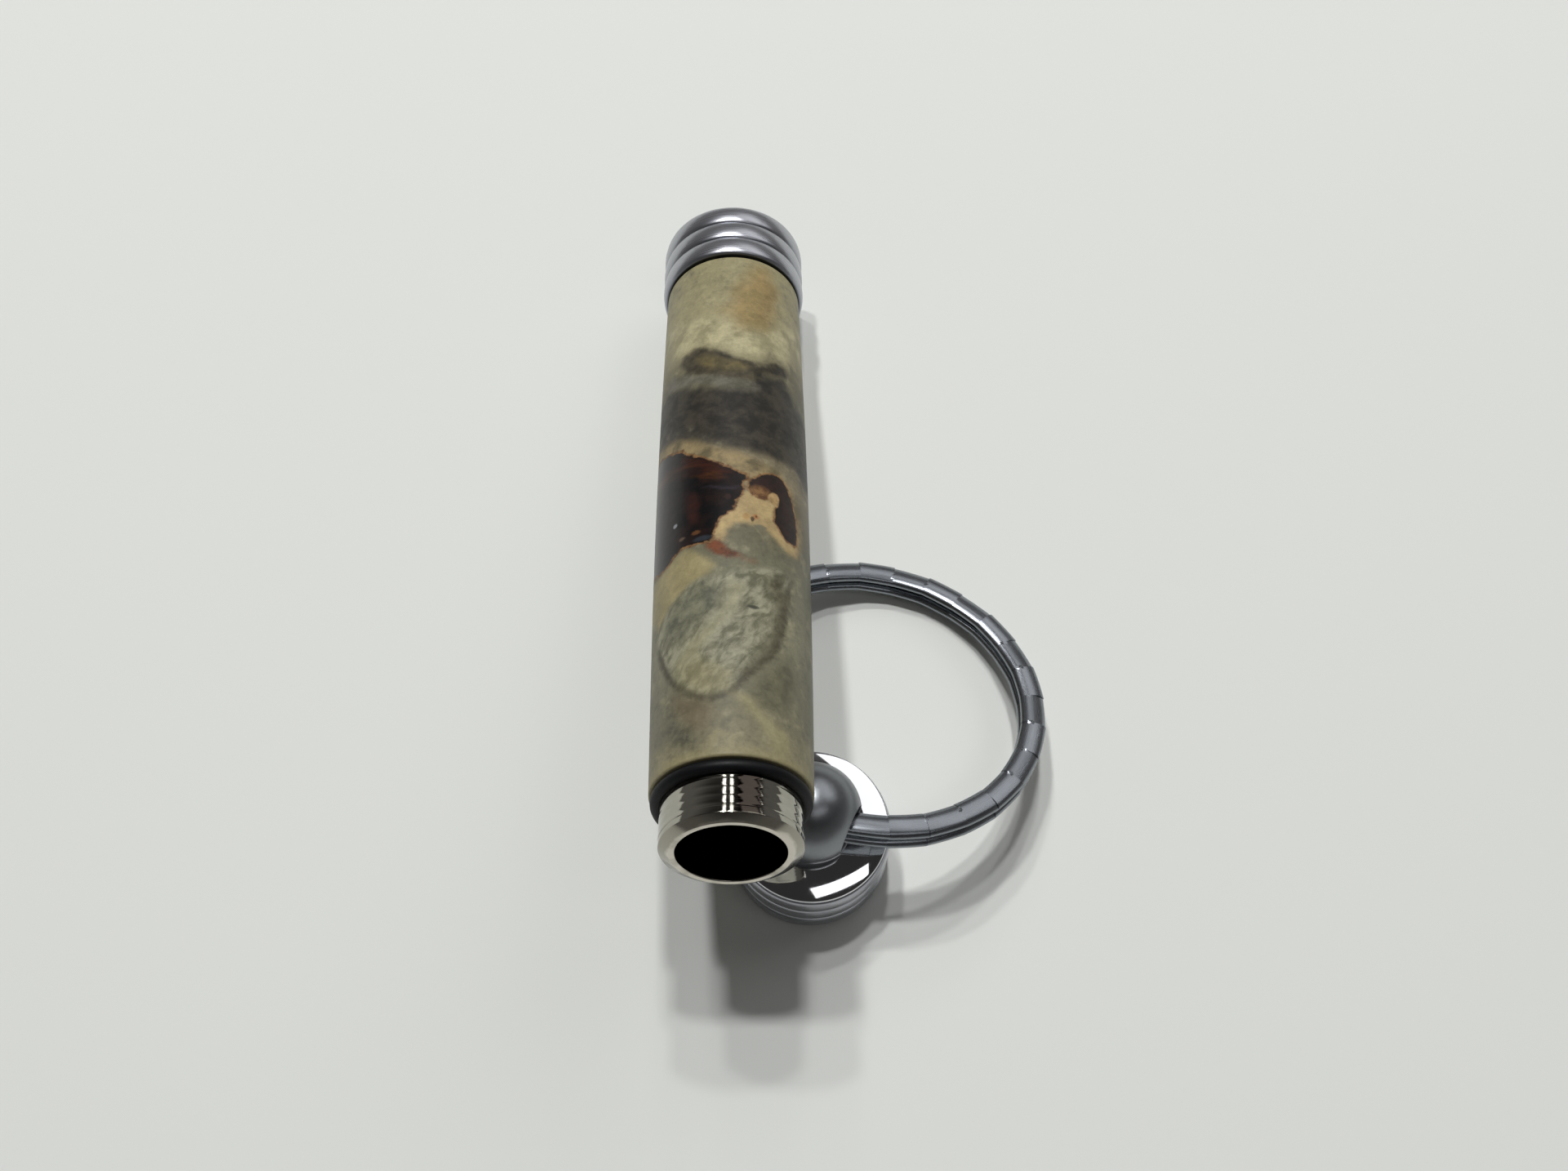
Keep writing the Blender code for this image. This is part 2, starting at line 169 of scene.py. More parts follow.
# The figure of the burl, each patch drawn on the unrolled skin: millimetres round, millimetres along.
patches = {
    "light_band": [(-6.6, 59.4), (-11.5, 57.2), (-17.0, 57.4), (-17.8, 60.4), (-12.0, 61.8),
        (-4.8, 60.4), (-1.4, 58.8), (1.1, 57.6), (5.2, 58.6), (8.6, 61.8), (12.8, 63.0), (16.6, 61.2),
        (16.8, 58.0), (12.2, 57.0), (7.8, 57.2), (6.4, 54.1), (5.1, 53.9), (4.1, 54.8), (3.1, 52.7),
        (1.7, 52.3), (0.4, 52.8), (-0.8, 53.9), (-3.0, 54.7), (-5.5, 54.9), (-7.4, 55.4)],
    "tan_patch": [(0.8, 63.4), (1.9, 65.1), (2.8, 67.1), (3.9, 67.2), (5.2, 64.6), (4.7, 61.8),
        (4.1, 59.4), (3.5, 57.9), (1.1, 57.4), (0.4, 58.7), (-0.2, 59.9), (0.4, 61.1)],
    "tan_streak": [(3.5, 65.7), (3.8, 64.1), (3.6, 62.1), (3.2, 60.2), (2.7, 59.0), (3.7, 59.0),
        (4.5, 61.4), (4.8, 63.5), (4.4, 65.3)],
    "crescent": [(-8.2, 53.1), (-6.0, 52.3), (-4.0, 51.1), (-1.8, 50.2), (-0.1, 49.6), (1.0, 49.2),
        (2.6, 48.5), (1.6, 48.0), (-0.1, 47.8), (-2.1, 48.9), (-3.7, 49.4), (-6.0, 50.4), (-7.7, 51.5)],
    "dark_band": [(-8.9, 50.8), (-6.5, 50.6), (-3.7, 49.1), (-1.8, 48.7), (-0.1, 47.8), (1.6, 48.2),
        (2.6, 49.8), (4.4, 51.0), (6.0, 51.6), (6.9, 49.2), (9.1, 48.4), (12.5, 47.6), (16.8, 45.4),
        (16.0, 41.0), (12.6, 39.6), (8.6, 39.4), (5.1, 39.6), (3.4, 39.4), (1.0, 39.6), (-0.7, 40.6),
        (-2.1, 41.5), (-3.6, 42.7), (-5.5, 44.2), (-7.5, 45.2), (-10.2, 46.2), (-13.8, 46.4),
        (-17.0, 48.0), (-17.4, 50.4), (-13.0, 51.6)],
    "dark_streak": [(-5.7, 53.8), (-5.1, 54.9), (-3.9, 54.8), (-2.7, 54.3), (-1.9, 53.8), (-0.5, 53.2),
        (0.7, 52.3), (2.3, 51.9), (3.6, 52.2), (4.9, 53.2), (5.9, 53.0), (6.2, 52.1), (4.6, 51.2),
        (3.6, 50.9), (2.6, 50.0), (1.0, 49.6), (-0.4, 50.0), (-2.0, 50.6), (-3.4, 51.0), (-4.9, 52.1)],
    "streak_core": [(-3.9, 53.7), (-2.7, 53.5), (-1.4, 52.9), (-0.2, 52.3), (1.2, 51.7), (2.3, 51.2),
        (1.0, 50.7), (-0.4, 50.9), (-2.0, 51.2), (-3.1, 52.1)],
    "cream_streak": [(-7.9, 43.8), (-5.6, 42.9), (-3.4, 41.6), (-1.8, 40.4), (-0.4, 39.7), (0.8, 39.5),
        (2.8, 38.4), (5.0, 38.0), (6.9, 36.5), (7.7, 34.9), (8.1, 32.9), (7.9, 30.2), (7.0, 28.6),
        (5.9, 28.2), (5.0, 28.8), (5.5, 29.8), (6.3, 31.0), (6.2, 33.1), (5.7, 34.8), (5.0, 36.1),
        (4.1, 36.3), (2.3, 35.6), (1.4, 35.0), (0.4, 36.5), (-1.8, 37.9), (-4.4, 39.7), (-5.5, 40.7),
        (-7.2, 41.3), (-11.4, 43.2), (-14.8, 42.2), (-17.2, 39.2), (-18.0, 41.6), (-15.6, 44.6),
        (-11.0, 45.2)],
    "cream_patch": [(-10.8, 27.8), (-7.7, 27.2), (-6.4, 27.4), (-5.2, 28.0), (-4.4, 28.2), (-3.7, 27.9),
        (-2.8, 27.1), (-1.8, 26.2), (-1.2, 25.4), (-2.1, 24.5), (-3.8, 23.4), (-5.9, 22.4), (-7.8, 20.8),
        (-8.8, 22.4), (-12.6, 23.4), (-13.8, 25.4)],
    "knot": [(-8.7, 20.4), (-7.5, 17.8), (-6.6, 15.8), (-5.5, 14.0), (-4.4, 12.7), (-2.9, 11.5),
        (-1.3, 11.1), (0.3, 11.8), (1.4, 13.2), (2.5, 14.5), (3.8, 16.1), (4.8, 18.4), (5.3, 21.1),
        (5.7, 23.6), (6.0, 25.4), (4.7, 25.8), (2.8, 25.4), (0.8, 24.9), (-0.9, 24.2), (-2.8, 24.3),
        (-4.2, 23.7), (-5.5, 22.9), (-6.8, 21.9)],
    "knot_dark": [(-6.8, 20.9), (-5.5, 22.4), (-4.0, 23.3), (-2.6, 23.8), (-1.1, 23.3), (-0.9, 21.9),
        (-1.5, 20.6), (-3.0, 19.2), (-4.4, 18.2), (-5.8, 17.8), (-6.7, 19.4)],
    "knot_cream": [(-5.1, 14.6), (-4.1, 15.2), (-3.0, 15.8), (-1.2, 14.6), (0.3, 13.8), (0.3, 12.5),
        (-0.5, 11.7), (-1.6, 11.5), (-3.2, 12.1), (-4.4, 13.3)],
    "knot_vein": [(0.0, 23.8), (1.1, 22.9), (0.7, 21.0), (-0.6, 19.1), (-1.9, 17.6), (-3.1, 16.0),
        (-4.7, 14.6), (-5.3, 15.6), (-4.1, 16.7), (-2.7, 18.1), (-1.3, 19.3), (-0.2, 20.9)],
    "knot_side": [(3.4, 24.0), (4.7, 25.1), (5.6, 23.5), (5.2, 21.0), (4.7, 18.3), (3.7, 16.2),
        (2.5, 14.6), (1.4, 13.2), (0.8, 13.8), (2.2, 15.3), (3.4, 17.0), (4.2, 19.3), (4.2, 21.8)],
    "right_dark": [(1.6, 11.5), (2.9, 12.9), (4.5, 15.3), (5.9, 16.3), (6.5, 15.3), (6.3, 13.5),
        (5.9, 11.8), (4.6, 10.2), (3.2, 9.7), (2.2, 10.6)],
    "cream_diag": [(0.3, 11.4), (1.4, 11.5), (2.2, 10.8), (3.0, 9.7), (4.4, 8.8), (5.6, 8.4), (6.0, 7.3),
        (5.3, 6.3), (4.2, 6.4), (3.5, 7.3), (2.8, 8.0), (2.0, 9.3), (1.1, 10.5)],
    "low_brown": [(-5.4, 12.5), (-4.0, 11.6), (-1.3, 10.4), (-1.2, 9.1), (-1.9, 8.1), (-3.6, 8.4),
        (-4.8, 9.8), (-5.4, 11.2)],
    "low_dark": [(-6.0, 11.5), (-4.8, 9.6), (-3.3, 8.2), (-2.2, 7.5), (-2.6, 6.4), (-3.9, 6.2),
        (-5.5, 7.3), (-6.7, 9.4)],
    "cream_wedge": [(1.2, 34.0), (1.5, 34.2), (2.0, 34.3), (2.8, 33.8), (3.5, 33.9), (4.2, 33.6),
        (4.3, 33.0), (4.2, 31.7), (4.3, 31.1), (5.2, 30.0), (6.1, 29.6), (7.1, 29.6), (6.8, 28.8),
        (5.8, 28.6), (4.8, 29.0), (4.0, 29.7), (3.5, 30.3), (2.7, 30.6), (1.5, 30.5), (0.4, 30.4),
        (-0.3, 29.6), (-0.5, 28.9), (-0.8, 28.4), (-1.2, 28.5), (-1.4, 29.0), (-1.4, 29.9), (-1.1, 30.7),
        (-0.5, 31.4), (0.3, 32.0), (0.5, 32.9)],
    "ember": [(-2.2, 27.9), (-1.7, 28.4), (-1.2, 28.5), (-0.6, 28.0), (-0.3, 27.5), (0.4, 27.0),
        (1.1, 26.6), (0.6, 26.2), (-0.3, 26.3), (-1.2, 26.7), (-1.9, 27.4)],
    "ember_trail": [(0.8, 26.4), (1.5, 26.2), (2.4, 26.2), (2.3, 25.8), (1.4, 25.8)],
    "bark_left": [(-9.4, 42.9), (-7.5, 42.1), (-6.1, 41.5), (-4.9, 41.0), (-4.2, 40.1), (-3.1, 39.4),
        (-2.1, 38.7), (-1.3, 38.0), (-0.6, 37.6), (0.4, 37.0), (1.1, 36.6), (1.6, 36.5), (1.5, 35.9),
        (1.2, 35.6), (1.2, 34.9), (1.2, 34.1), (0.8, 33.6), (0.5, 33.1), (0.3, 32.0), (-0.3, 31.5),
        (-0.9, 31.1), (-1.2, 30.5), (-1.4, 29.6), (-1.5, 28.7), (-1.8, 28.3), (-2.8, 28.4), (-4.0, 28.5),
        (-4.9, 28.5), (-5.7, 28.1), (-6.4, 27.5), (-7.7, 27.4), (-10.8, 28.9), (-13.2, 31.0),
        (-15.6, 34.0), (-16.2, 37.4), (-14.6, 40.6), (-12.0, 42.6)],
    "bark_red": [(-4.8, 40.0), (-3.1, 39.0), (-2.0, 38.3), (-0.8, 37.3), (-0.1, 36.7), (-1.3, 36.8),
        (-2.3, 37.4), (-3.6, 38.1), (-4.8, 39.0)],
    "bark_brown": [(-9.6, 39.8), (-7.3, 39.7), (-6.0, 39.3), (-4.8, 38.8), (-3.3, 37.8), (-2.3, 37.3),
        (-1.3, 36.8), (-0.3, 36.1), (-1.3, 35.9), (-2.3, 36.1), (-3.1, 36.9), (-4.3, 37.6), (-5.4, 38.1),
        (-9.2, 38.6)],
    "bark_vein": [(-4.0, 34.8), (-3.3, 34.6), (-2.9, 33.2), (-3.0, 31.9), (-3.2, 31.1), (-3.9, 31.2),
        (-4.2, 32.8)],
    "bark_ridge": [(-2.8, 35.2), (-1.8, 35.3), (-0.8, 35.0), (0.1, 34.9), (0.8, 35.1), (1.0, 34.8),
        (0.3, 34.4), (-0.8, 34.5), (-1.8, 34.9)],
    "bark_right": [(1.6, 34.6), (1.8, 35.7), (2.4, 36.3), (3.3, 37.1), (4.1, 37.3), (4.8, 37.4),
        (5.4, 37.1), (5.9, 36.4), (6.4, 35.2), (7.0, 33.3), (7.1, 31.5), (7.0, 30.0), (6.5, 29.7),
        (5.6, 29.8), (5.0, 30.2), (4.6, 30.9), (4.2, 31.5), (4.3, 33.0), (4.7, 33.7), (4.7, 34.5),
        (4.5, 35.0), (3.9, 34.7), (3.5, 34.0), (3.0, 33.9), (2.5, 33.9), (2.0, 34.3)],
    "bark_tan": [(1.8, 34.8), (2.4, 35.2), (3.1, 35.2), (3.7, 35.0), (3.5, 34.1), (2.9, 33.9),
        (2.3, 34.1), (1.8, 34.4)],
    "knob": [(3.7, 34.5), (4.1, 34.9), (4.5, 34.9), (4.7, 34.4), (4.5, 33.4), (4.1, 33.6), (3.7, 34.0)],
    "back_knot": [(14.0, 21.0), (15.4, 25.6), (18.4, 27.2), (21.4, 24.6), (21.6, 19.2), (18.8, 15.4),
        (15.2, 16.6)],
    "back_bark": [(17.4, 34.8), (19.2, 37.0), (22.2, 36.4), (22.6, 33.2), (20.4, 31.2), (18.2, 32.0)],
    "back_streak": [(-22.0, 13.4), (-18.0, 15.6), (-14.0, 14.8), (-12.8, 12.4), (-16.0, 10.8),
        (-21.0, 10.9)],
    "back_cream": [(-21.8, 22.2), (-18.6, 26.0), (-15.4, 24.6), (-14.8, 20.6), (-17.6, 18.4),
        (-21.0, 18.8)],
}

burl, tree, shader = new_finish("lacquered_burl")
spot = add(tree, "TexCoord", output="Object")
skin = add(tree, "Attribute", output="Vector", attribute_name="skin")
noise_mm = {"broad": 8.0, "blotch": 2.2, "speck": 1.25, "cloud": 1.7, "fleck": 0.7, "grain": 0.25}
noises = {name: add(tree, "TexNoise", {"Vector": spot, "Scale": PER_MM / size, "Detail": 5.0,
                                       "Roughness": 0.6, "Distortion": 0.15})
          for name, size in noise_mm.items()}
across, along, _ = add(tree, "SeparateXYZ", {"Vector": skin}).node.outputs

# The ground colour runs along the barrel, its bounds blurred and bent by the broad figure.
broad_bend, blotch_bend, figure_length = 9.0, 4.0, 70.0
bent = add(tree, "Math", {0: noises["broad"], 1: broad_bend, 2: along}, operation="MULTIPLY_ADD")
bent = add(tree, "Math", {0: noises["blotch"], 1: blotch_bend, 2: bent}, operation="MULTIPLY_ADD")
mean_bend = 0.5 * (broad_bend + blotch_bend)
share = add(tree, "MapRange", {"Value": bent, "From Min": mean_bend, "From Max": mean_bend + figure_length})
ground = add(tree, "ValToRGB", {"Fac": share})
stops = [(6.0, "#857E61"), (9.0, "#726E58"), (13.0, "#6E6B57"), (18.0, "#7C7963"), (25.0, "#6A6854"),
         (32.0, "#635D49"), (38.0, "#7A7058"), (41.0, "#3F3A30"), (45.0, "#332F28"), (48.5, "#525041"),
         (52.0, "#625C46"), (56.0, "#857E61"), (60.0, "#98906E"), (64.0, "#8C8565"), (69.0, "#928B69")]
ramp = ground.node.color_ramp
for place, (at, colour) in enumerate(stops):
    stop = ramp.elements[place] if place < 2 else ramp.elements.new(at / figure_length)
    stop.position = at / figure_length
    stop.color = ink(colour)
colour = ground

# Streaks lie across the knot from lower left to upper right; veins run round the bark pocket.
for name, slant_deg, length, width in (("streaks", 50.0, 1.9, 1.0), ("veins", -14.0, 4.0, 0.8)):
    laid = add(tree, "Mapping", {"Vector": skin, "Rotation": (0.0, 0.0, math.radians(slant_deg)),
                                 "Scale": (length, width, 1.0)}, vector_type="TEXTURE")
    noises[name] = add(tree, "TexNoise", {"Vector": laid, "Scale": 1.0, "Detail": 5.0, "Roughness": 0.6,
                                          "Distortion": 0.4})

# A patch has two colours that a mottling chooses between, then its softness, raggedness and growth in
# millimetres, the mottling and its strength. A row named for a noise paints between two levels of it.
layers = [("speck", "#4A483C", "#5A594C", 0.50, 0.70, 0.0, "fleck", 0.50),
          ("cloud", "#A39D7B", "#AEA887", 0.53, 0.75, 0.0, "fleck", 0.40),
          ("light_band", "#8B8566", "#AFA784", 0.9, 2.8, 0.0, "blotch", 0.95),
          ("tan_patch", "#857449", "#967F52", 1.4, 2.4, 0.3, "blotch", 0.85),
          ("tan_streak", "#6E5A38", "#7E6A46", 0.8, 1.4, 0.0, "fleck", 0.55),
          ("dark_band", "#1F1C17", "#39342B", 0.9, 2.6, 0.0, "cloud", 0.97),
          ("crescent", "#4F4D3F", "#69665A", 0.5, 2.0, 0.0, "cloud", 0.85),
          ("dark_streak", "#231F16", "#484130", 0.4, 2.0, 0.1, "cloud", 0.95),
          ("streak_core", "#675C3C", "#50482F", 0.5, 1.9, 0.0, "speck", 0.9),
          ("back_knot", "#6C6B55", "#97916F", 0.6, 1.6, 0.0, "streaks", 0.9),
          ("back_streak", "#3F3A2E", "#5B5341", 0.7, 2.2, 0.0, "blotch", 0.9),
          ("back_cream", "#8B8161", "#A79B74", 0.7, 1.8, 0.0, "blotch", 0.9),
          ("cream_streak", "#5F553D", "#907F5B", 0.6, 1.6, 0.0, "blotch", 0.95),
          ("cream_patch", "#857C5A", "#968B65", 0.45, 0.9, 0.0, "blotch", 1.0),
          ("knot", "#5E5D49", "#94927B", 0.5, 0.8, 0.0, "streaks", 0.9),
          ("knot_dark", "#4C4E42", "#74735F", 0.9, 2.2, 0.0, "speck", 0.8),
          ("knot_cream", "#7A7558", "#8E8868", 0.9, 1.4, 0.0, "streaks", 0.8),
          ("knot_vein", "#8C876B", "#A19C7C", 0.9, 1.8, 0.0, "blotch", 0.75),
          ("knot_side", "#46422F", "#5C5745", 0.7, 1.4, 0.1, "fleck", 0.85),
          ("right_dark", "#4E4C3B", "#66634E", 1.0, 2.4, 0.0, "speck", 0.8),
          ("cream_diag", "#857F5E", "#98916D", 0.8, 1.8, 0.0, "blotch", 0.8),
          ("low_brown", "#625844", "#706650", 0.9, 1.8, 0.0, "blotch", 0.8),
          ("low_dark", "#46453A", "#5C5B4A", 1.0, 1.8, 0.0, "fleck", 0.8),
          ("cream_wedge", "#97835D", "#AF996C", 0.45, 1.5, 0.15, "blotch", 1.0),
          ("ember", "#4E2812", "#743D1E", 0.35, 0.9, 0.0, "speck", 0.95),
          ("ember_trail", "#6C432B", "#735A42", 0.4, 0.6, 0.0, "fleck", 0.7),
          ("bark_left", "#5E4026", "#80603C", 0.12, 0.7, 0.16, "fleck", 1.0),
          ("bark_left", "#050304", "#1A0D0B", 0.10, 0.7, -0.08, "cloud", 1.0),
          ("bark_vein", "#2B1410", "#371A12", 0.4, 0.9, 0.0, "veins", 0.7),
          ("bark_red", "#210F0B", "#3D1D11", 0.3, 0.8, 0.2, "veins", 0.95),
          ("bark_brown", "#1F0E08", "#42240F", 0.35, 0.9, 0.1, "veins", 0.95),
          ("bark_ridge", "#2A262E", "#3C3740", 0.25, 0.6, -0.1, "fleck", 0.7),
          ("bark_right", "#705030", "#8A6A44", 0.12, 0.5, 0.14, "fleck", 1.0),
          ("bark_right", "#140A08", "#29150D", 0.10, 0.5, -0.06, "cloud", 1.0),
          ("bark_tan", "#5A3C22", "#7D5C38", 0.3, 0.8, 0.1, "fleck", 0.9),
          ("knob", "#8F744C", "#A58A60", 0.10, 0.3, 0.1, "fleck", 1.0),
          ("back_bark", "#14100E", "#33201A", 0.15, 0.8, 0.0, "blotch", 1.0)]
masks = {}
for patch, dark, light, soft, ragged, growth, mottle, strength in layers:
    if patch in noises:
        mask = add(tree, "MapRange", {"Value": noises[patch], "From Min": soft, "From Max": ragged,
                                      "To Max": strength})
    else:
        away = add(tree, "Attribute", output="Fac", attribute_name="figure_" + patch)
        lifted = add(tree, "Math", {0: away, 1: 0.5 * ragged + growth}, operation="SUBTRACT")
        away = add(tree, "Math", {0: noises["fleck" if ragged < 1.0 else "blotch"], 1: ragged, 2: lifted},
                   operation="MULTIPLY_ADD")
        mask = add(tree, "MapRange", {"Value": away, "From Min": -soft, "From Max": soft, "To Min": strength,
                                      "To Max": 0.0}, interpolation_type="SMOOTHSTEP")
    choice = add(tree, "MapRange", {"Value": noises[mottle], "From Min": 0.40, "From Max": 0.60})
    tone = add(tree, "Mix", {"Factor": choice, "A": ink(dark), "B": ink(light)}, data_type="RGBA")
    colour = add(tree, "Mix", {"Factor": mask, "A": colour, "B": tone}, data_type="RGBA")
    masks[patch] = mask
    if patch == "knot":
        # A soft dark line closes the knot round at its foot and up its right side, and not at its top.
        ring = add(tree, "Math", {0: away}, operation="ABSOLUTE")
        ring = add(tree, "MapRange", {"Value": ring, "From Min": 0.05, "From Max": 0.65, "To Min": 0.8,
                                      "To Max": 0.0}, interpolation_type="SMOOTHSTEP")
        tipped = add(tree, "Math", {0: across, 1: -0.45, 2: along}, operation="MULTIPLY_ADD")
        lower = add(tree, "MapRange", {"Value": tipped, "From Min": 21.0, "From Max": 23.5, "To Min": 1.0,
                                       "To Max": 0.0})
        ring = add(tree, "Math", {0: ring, 1: lower}, operation="MULTIPLY")
        colour = add(tree, "Mix", {"Factor": ring, "A": colour, "B": ink("#3C382A")}, data_type="RGBA")

# Small marks: stained pores in the wedge, a grey dash on the knot, pale specks in the bark, of which the
# light grey one is a painted glint.
marks = [(1.5, 31.25, 0.34, 0.42, "#A07F50"), (2.35, 31.35, 0.30, 0.30, "#96673C"),
         (2.05, 31.0, 0.19, 0.30, "#2A150C"), (2.4, 31.4, 0.10, 0.16, "#5A3520"),
         (2.8, 30.2, 0.6, 0.28, "#6A6654"), (2.1, 20.75, 0.52, 0.19, "#26261F"),
         # The first mark on the next line, light grey, is a painted glint off a pit in the bark.
         (-5.6, 31.8, 0.24, 0.24, "#8A8C90"), (-4.7, 29.7, 0.34, 0.22, "#57463A"),
         (-3.2, 29.8, 0.42, 0.26, "#5E3C22"), (-0.2, 33.6, 0.30, 0.34, "#2E1B16"),
         (-2.6, 28.9, 0.9, 0.30, "#2B3036")]
for right, up, wide, tall, tint in marks:
    offset = add(tree, "Mapping", {"Vector": skin, "Location": (right, up, 0.0), "Scale": (wide, tall, 1.0)},
                 vector_type="TEXTURE")
    away = add(tree, "VectorMath", {0: offset}, operation="LENGTH")
    away = add(tree, "Math", {0: noises["grain"], 1: 0.8, 2: away}, operation="MULTIPLY_ADD")
    mark = add(tree, "MapRange", {"Value": away, "From Min": 1.0, "From Max": 1.8, "To Min": 0.85,
                                  "To Max": 0.0}, interpolation_type="SMOOTHSTEP")
    colour = add(tree, "Mix", {"Factor": mark, "A": colour, "B": ink(tint)}, data_type="RGBA")

# The mouth end was rounded last and shows pale new wood.
edge = add(tree, "Math", {0: noises["fleck"], 1: 0.7, 2: along}, operation="MULTIPLY_ADD")
fresh = add(tree, "MapRange", {"Value": edge, "From Min": 6.0, "From Max": 6.7, "To Min": 0.75,
                               "To Max": 0.0})
colour = add(tree, "Mix", {"Factor": fresh, "A": colour, "B": ink("#898160")}, data_type="RGBA")

# Fine fibres and flecks vary every colour a little.
fleck_depth, grain_depth = 0.60, 0.45
shade = add(tree, "Math", {0: noises["fleck"], 1: fleck_depth, 2: 1.0 - 0.5 * fleck_depth},
            operation="MULTIPLY_ADD")
shade = add(tree, "Math", {0: noises["grain"], 1: grain_depth, 2: shade}, operation="MULTIPLY_ADD")
shade = add(tree, "Math", {0: shade, 1: 0.5 * grain_depth}, operation="SUBTRACT")
colour = add(tree, "HueSaturation", {"Value": shade, "Color": colour})
tree.links.new(colour, shader.inputs["Base Color"])
sheen = add(tree, "MapRange", {"Value": noises["fleck"], "From Min": 0.3, "From Max": 0.7, "To Min": 0.44,
                               "To Max": 0.56})
gloss = add(tree, "Mix", {"Factor": masks["bark_left"], "A": sheen, "B": 0.30})
tree.links.new(gloss, shader.inputs["Roughness"])
shader.inputs["Specular IOR Level"].default_value = 0.28
shader.inputs["Coat Weight"].default_value = 0.05
shader.inputs["Coat Roughness"].default_value = 0.35
height = add(tree, "Math", {0: noises["grain"], 1: 0.4, 2: noises["fleck"]}, operation="MULTIPLY_ADD")
bump = add(tree, "Bump", {"Height": height, "Strength": 0.35, "Distance": 0.00004})
tree.links.new(bump, shader.inputs["Normal"])

fields = {"figure_" + patch: reach(outline) for patch, outline in patches.items()}
fields["skin"] = unroll
settle("barrel_wood", turned(wood, 180), barrel_place, burl, "barrel", "wooden_barrel", fields)

# Brass tube: thin drawn tube glued in the drilled wood, the wall of the compartment. Its bore keeps
# faint lines along its length from the drawing die and a brown tarnish in patches.
tube_outer, tube_inner, tube_inset = 5.87, 5.47, 0.75
brass, tree, shader = new_finish("drawn_brass")
spot = add(tree, "TexCoord", output="Object")
skin = add(tree, "Attribute", output="Vector", attribute_name="skin")
tarnish = add(tree, "TexNoise", {"Vector": spot, "Scale": 0.26 * PER_MM, "Detail": 5.0})
patchy = add(tree, "MapRange", {"Value": tarnish, "From Min": 0.4, "From Max": 0.65})
tone = add(tree, "Mix", {"Factor": patchy, "A": ink("#C9A35A"), "B": ink("#8A6A36")}, data_type="RGBA")
tree.links.new(tone, shader.inputs["Base Color"])
drawn = add(tree, "Mapping", {"Vector": skin, "Scale": (6.0, 0.12, 1.0)})
lines = add(tree, "TexNoise", {"Vector": drawn, "Scale": 1.0, "Detail": 3.0})
rough = add(tree, "MapRange", {"Value": lines, "To Min": 0.22, "To Max": 0.42})
tree.links.new(rough, shader.inputs["Roughness"])
bump = add(tree, "Bump", {"Height": lines, "Strength": 0.4, "Distance": 0.00002})
tree.links.new(bump, shader.inputs["Normal"])
shader.inputs["Metallic"].default_value = 1.0
tube_top, tube_bottom = wood_start - tube_inset, wood_end + tube_inset
tube = [(tube_outer, tube_top), (tube_outer, tube_bottom), (tube_inner, tube_bottom), (tube_inner, tube_top)]
settle("compartment_tube", turned(tube, 96), barrel_place, brass, "barrel", "brass_tube",
       {"skin": unroll})

# Threaded coupler: turned brass, pressed and glued into the tube. Its bright nickel plate is a warm
# mirror that shows lamps as clean strips. It keeps fine lathe lines, the thread has flat crests with
# narrow grooves between them, and the mouth has a broad chamfer that handling has dulled.
mouth_inner, mouth_outer, thread_radius = 4.76, 5.34, 6.20
chamfer_foot, thread_start, thread_end, neck_radius, neck_end = -0.55, -1.25, -4.25, 5.60, -5.85
spigot_radius, spigot_end, mouth_round = 5.17, -13.85, 0.12
pitch, groove_depth, rows_per_pitch = 0.82, 0.013, 18
undercut_start, undercut_end, undercut_depth, undercut_side = -0.95, -1.17, 0.06, 0.05
chamfer_deg, foot_depth, foot_height, lead_depth, lead_height = 35, 0.06, 0.05, 0.1, 0.2
thread_runout, wall_start, wall_end, wall_rows = 0.35, -0.6, spigot_end + 0.5, 12


def thread(shape, low, high, radius, depth):
    """Sinks a helical groove into a turned wall between two heights; a negative depth cuts outwards."""
    for vert in shape.verts:
        if low < vert.co.z < high and abs(math.hypot(vert.co.x, vert.co.y) - radius) < 1e-3:
            phase = vert.co.z / pitch + math.atan2(vert.co.y, vert.co.x) / TAU
            cut = depth * (0.5 - 0.5 * math.cos(TAU * phase)) ** 2
            cut *= min(1.0, (vert.co.z - low) / thread_runout)
            vert.co.xy *= (radius - cut) / radius


coupler = rounding(mouth_outer - mouth_round, -mouth_round, mouth_round, 90, chamfer_deg, 4)
coupler += rounding(thread_radius - mouth_round, chamfer_foot, mouth_round, chamfer_deg, 0, 4)
coupler += [(thread_radius, undercut_start), (thread_radius - undercut_depth, undercut_start - undercut_side),
            (thread_radius - undercut_depth, undercut_end + undercut_side), (thread_radius, undercut_end)]
rows = int((thread_start - thread_end) / pitch * rows_per_pitch)
coupler += [(thread_radius, z) for z in np.linspace(thread_start, thread_end + foot_height, rows)]
coupler += [(thread_radius - foot_depth, thread_end), (neck_radius, thread_end), (neck_radius, neck_end),
            (spigot_radius, neck_end), (spigot_radius, spigot_end + lead_height),
            (spigot_radius - lead_depth, spigot_end), (mouth_inner, spigot_end)]
coupler += [(mouth_inner, z) for z in np.linspace(wall_end, wall_start, wall_rows)]
coupler += rounding(mouth_inner + mouth_round, -mouth_round, mouth_round, 180, 90, 4)
coupler_shape = turned(coupler, 192)
thread(coupler_shape, thread_end + 0.02, thread_start - 0.02, thread_radius, groove_depth)

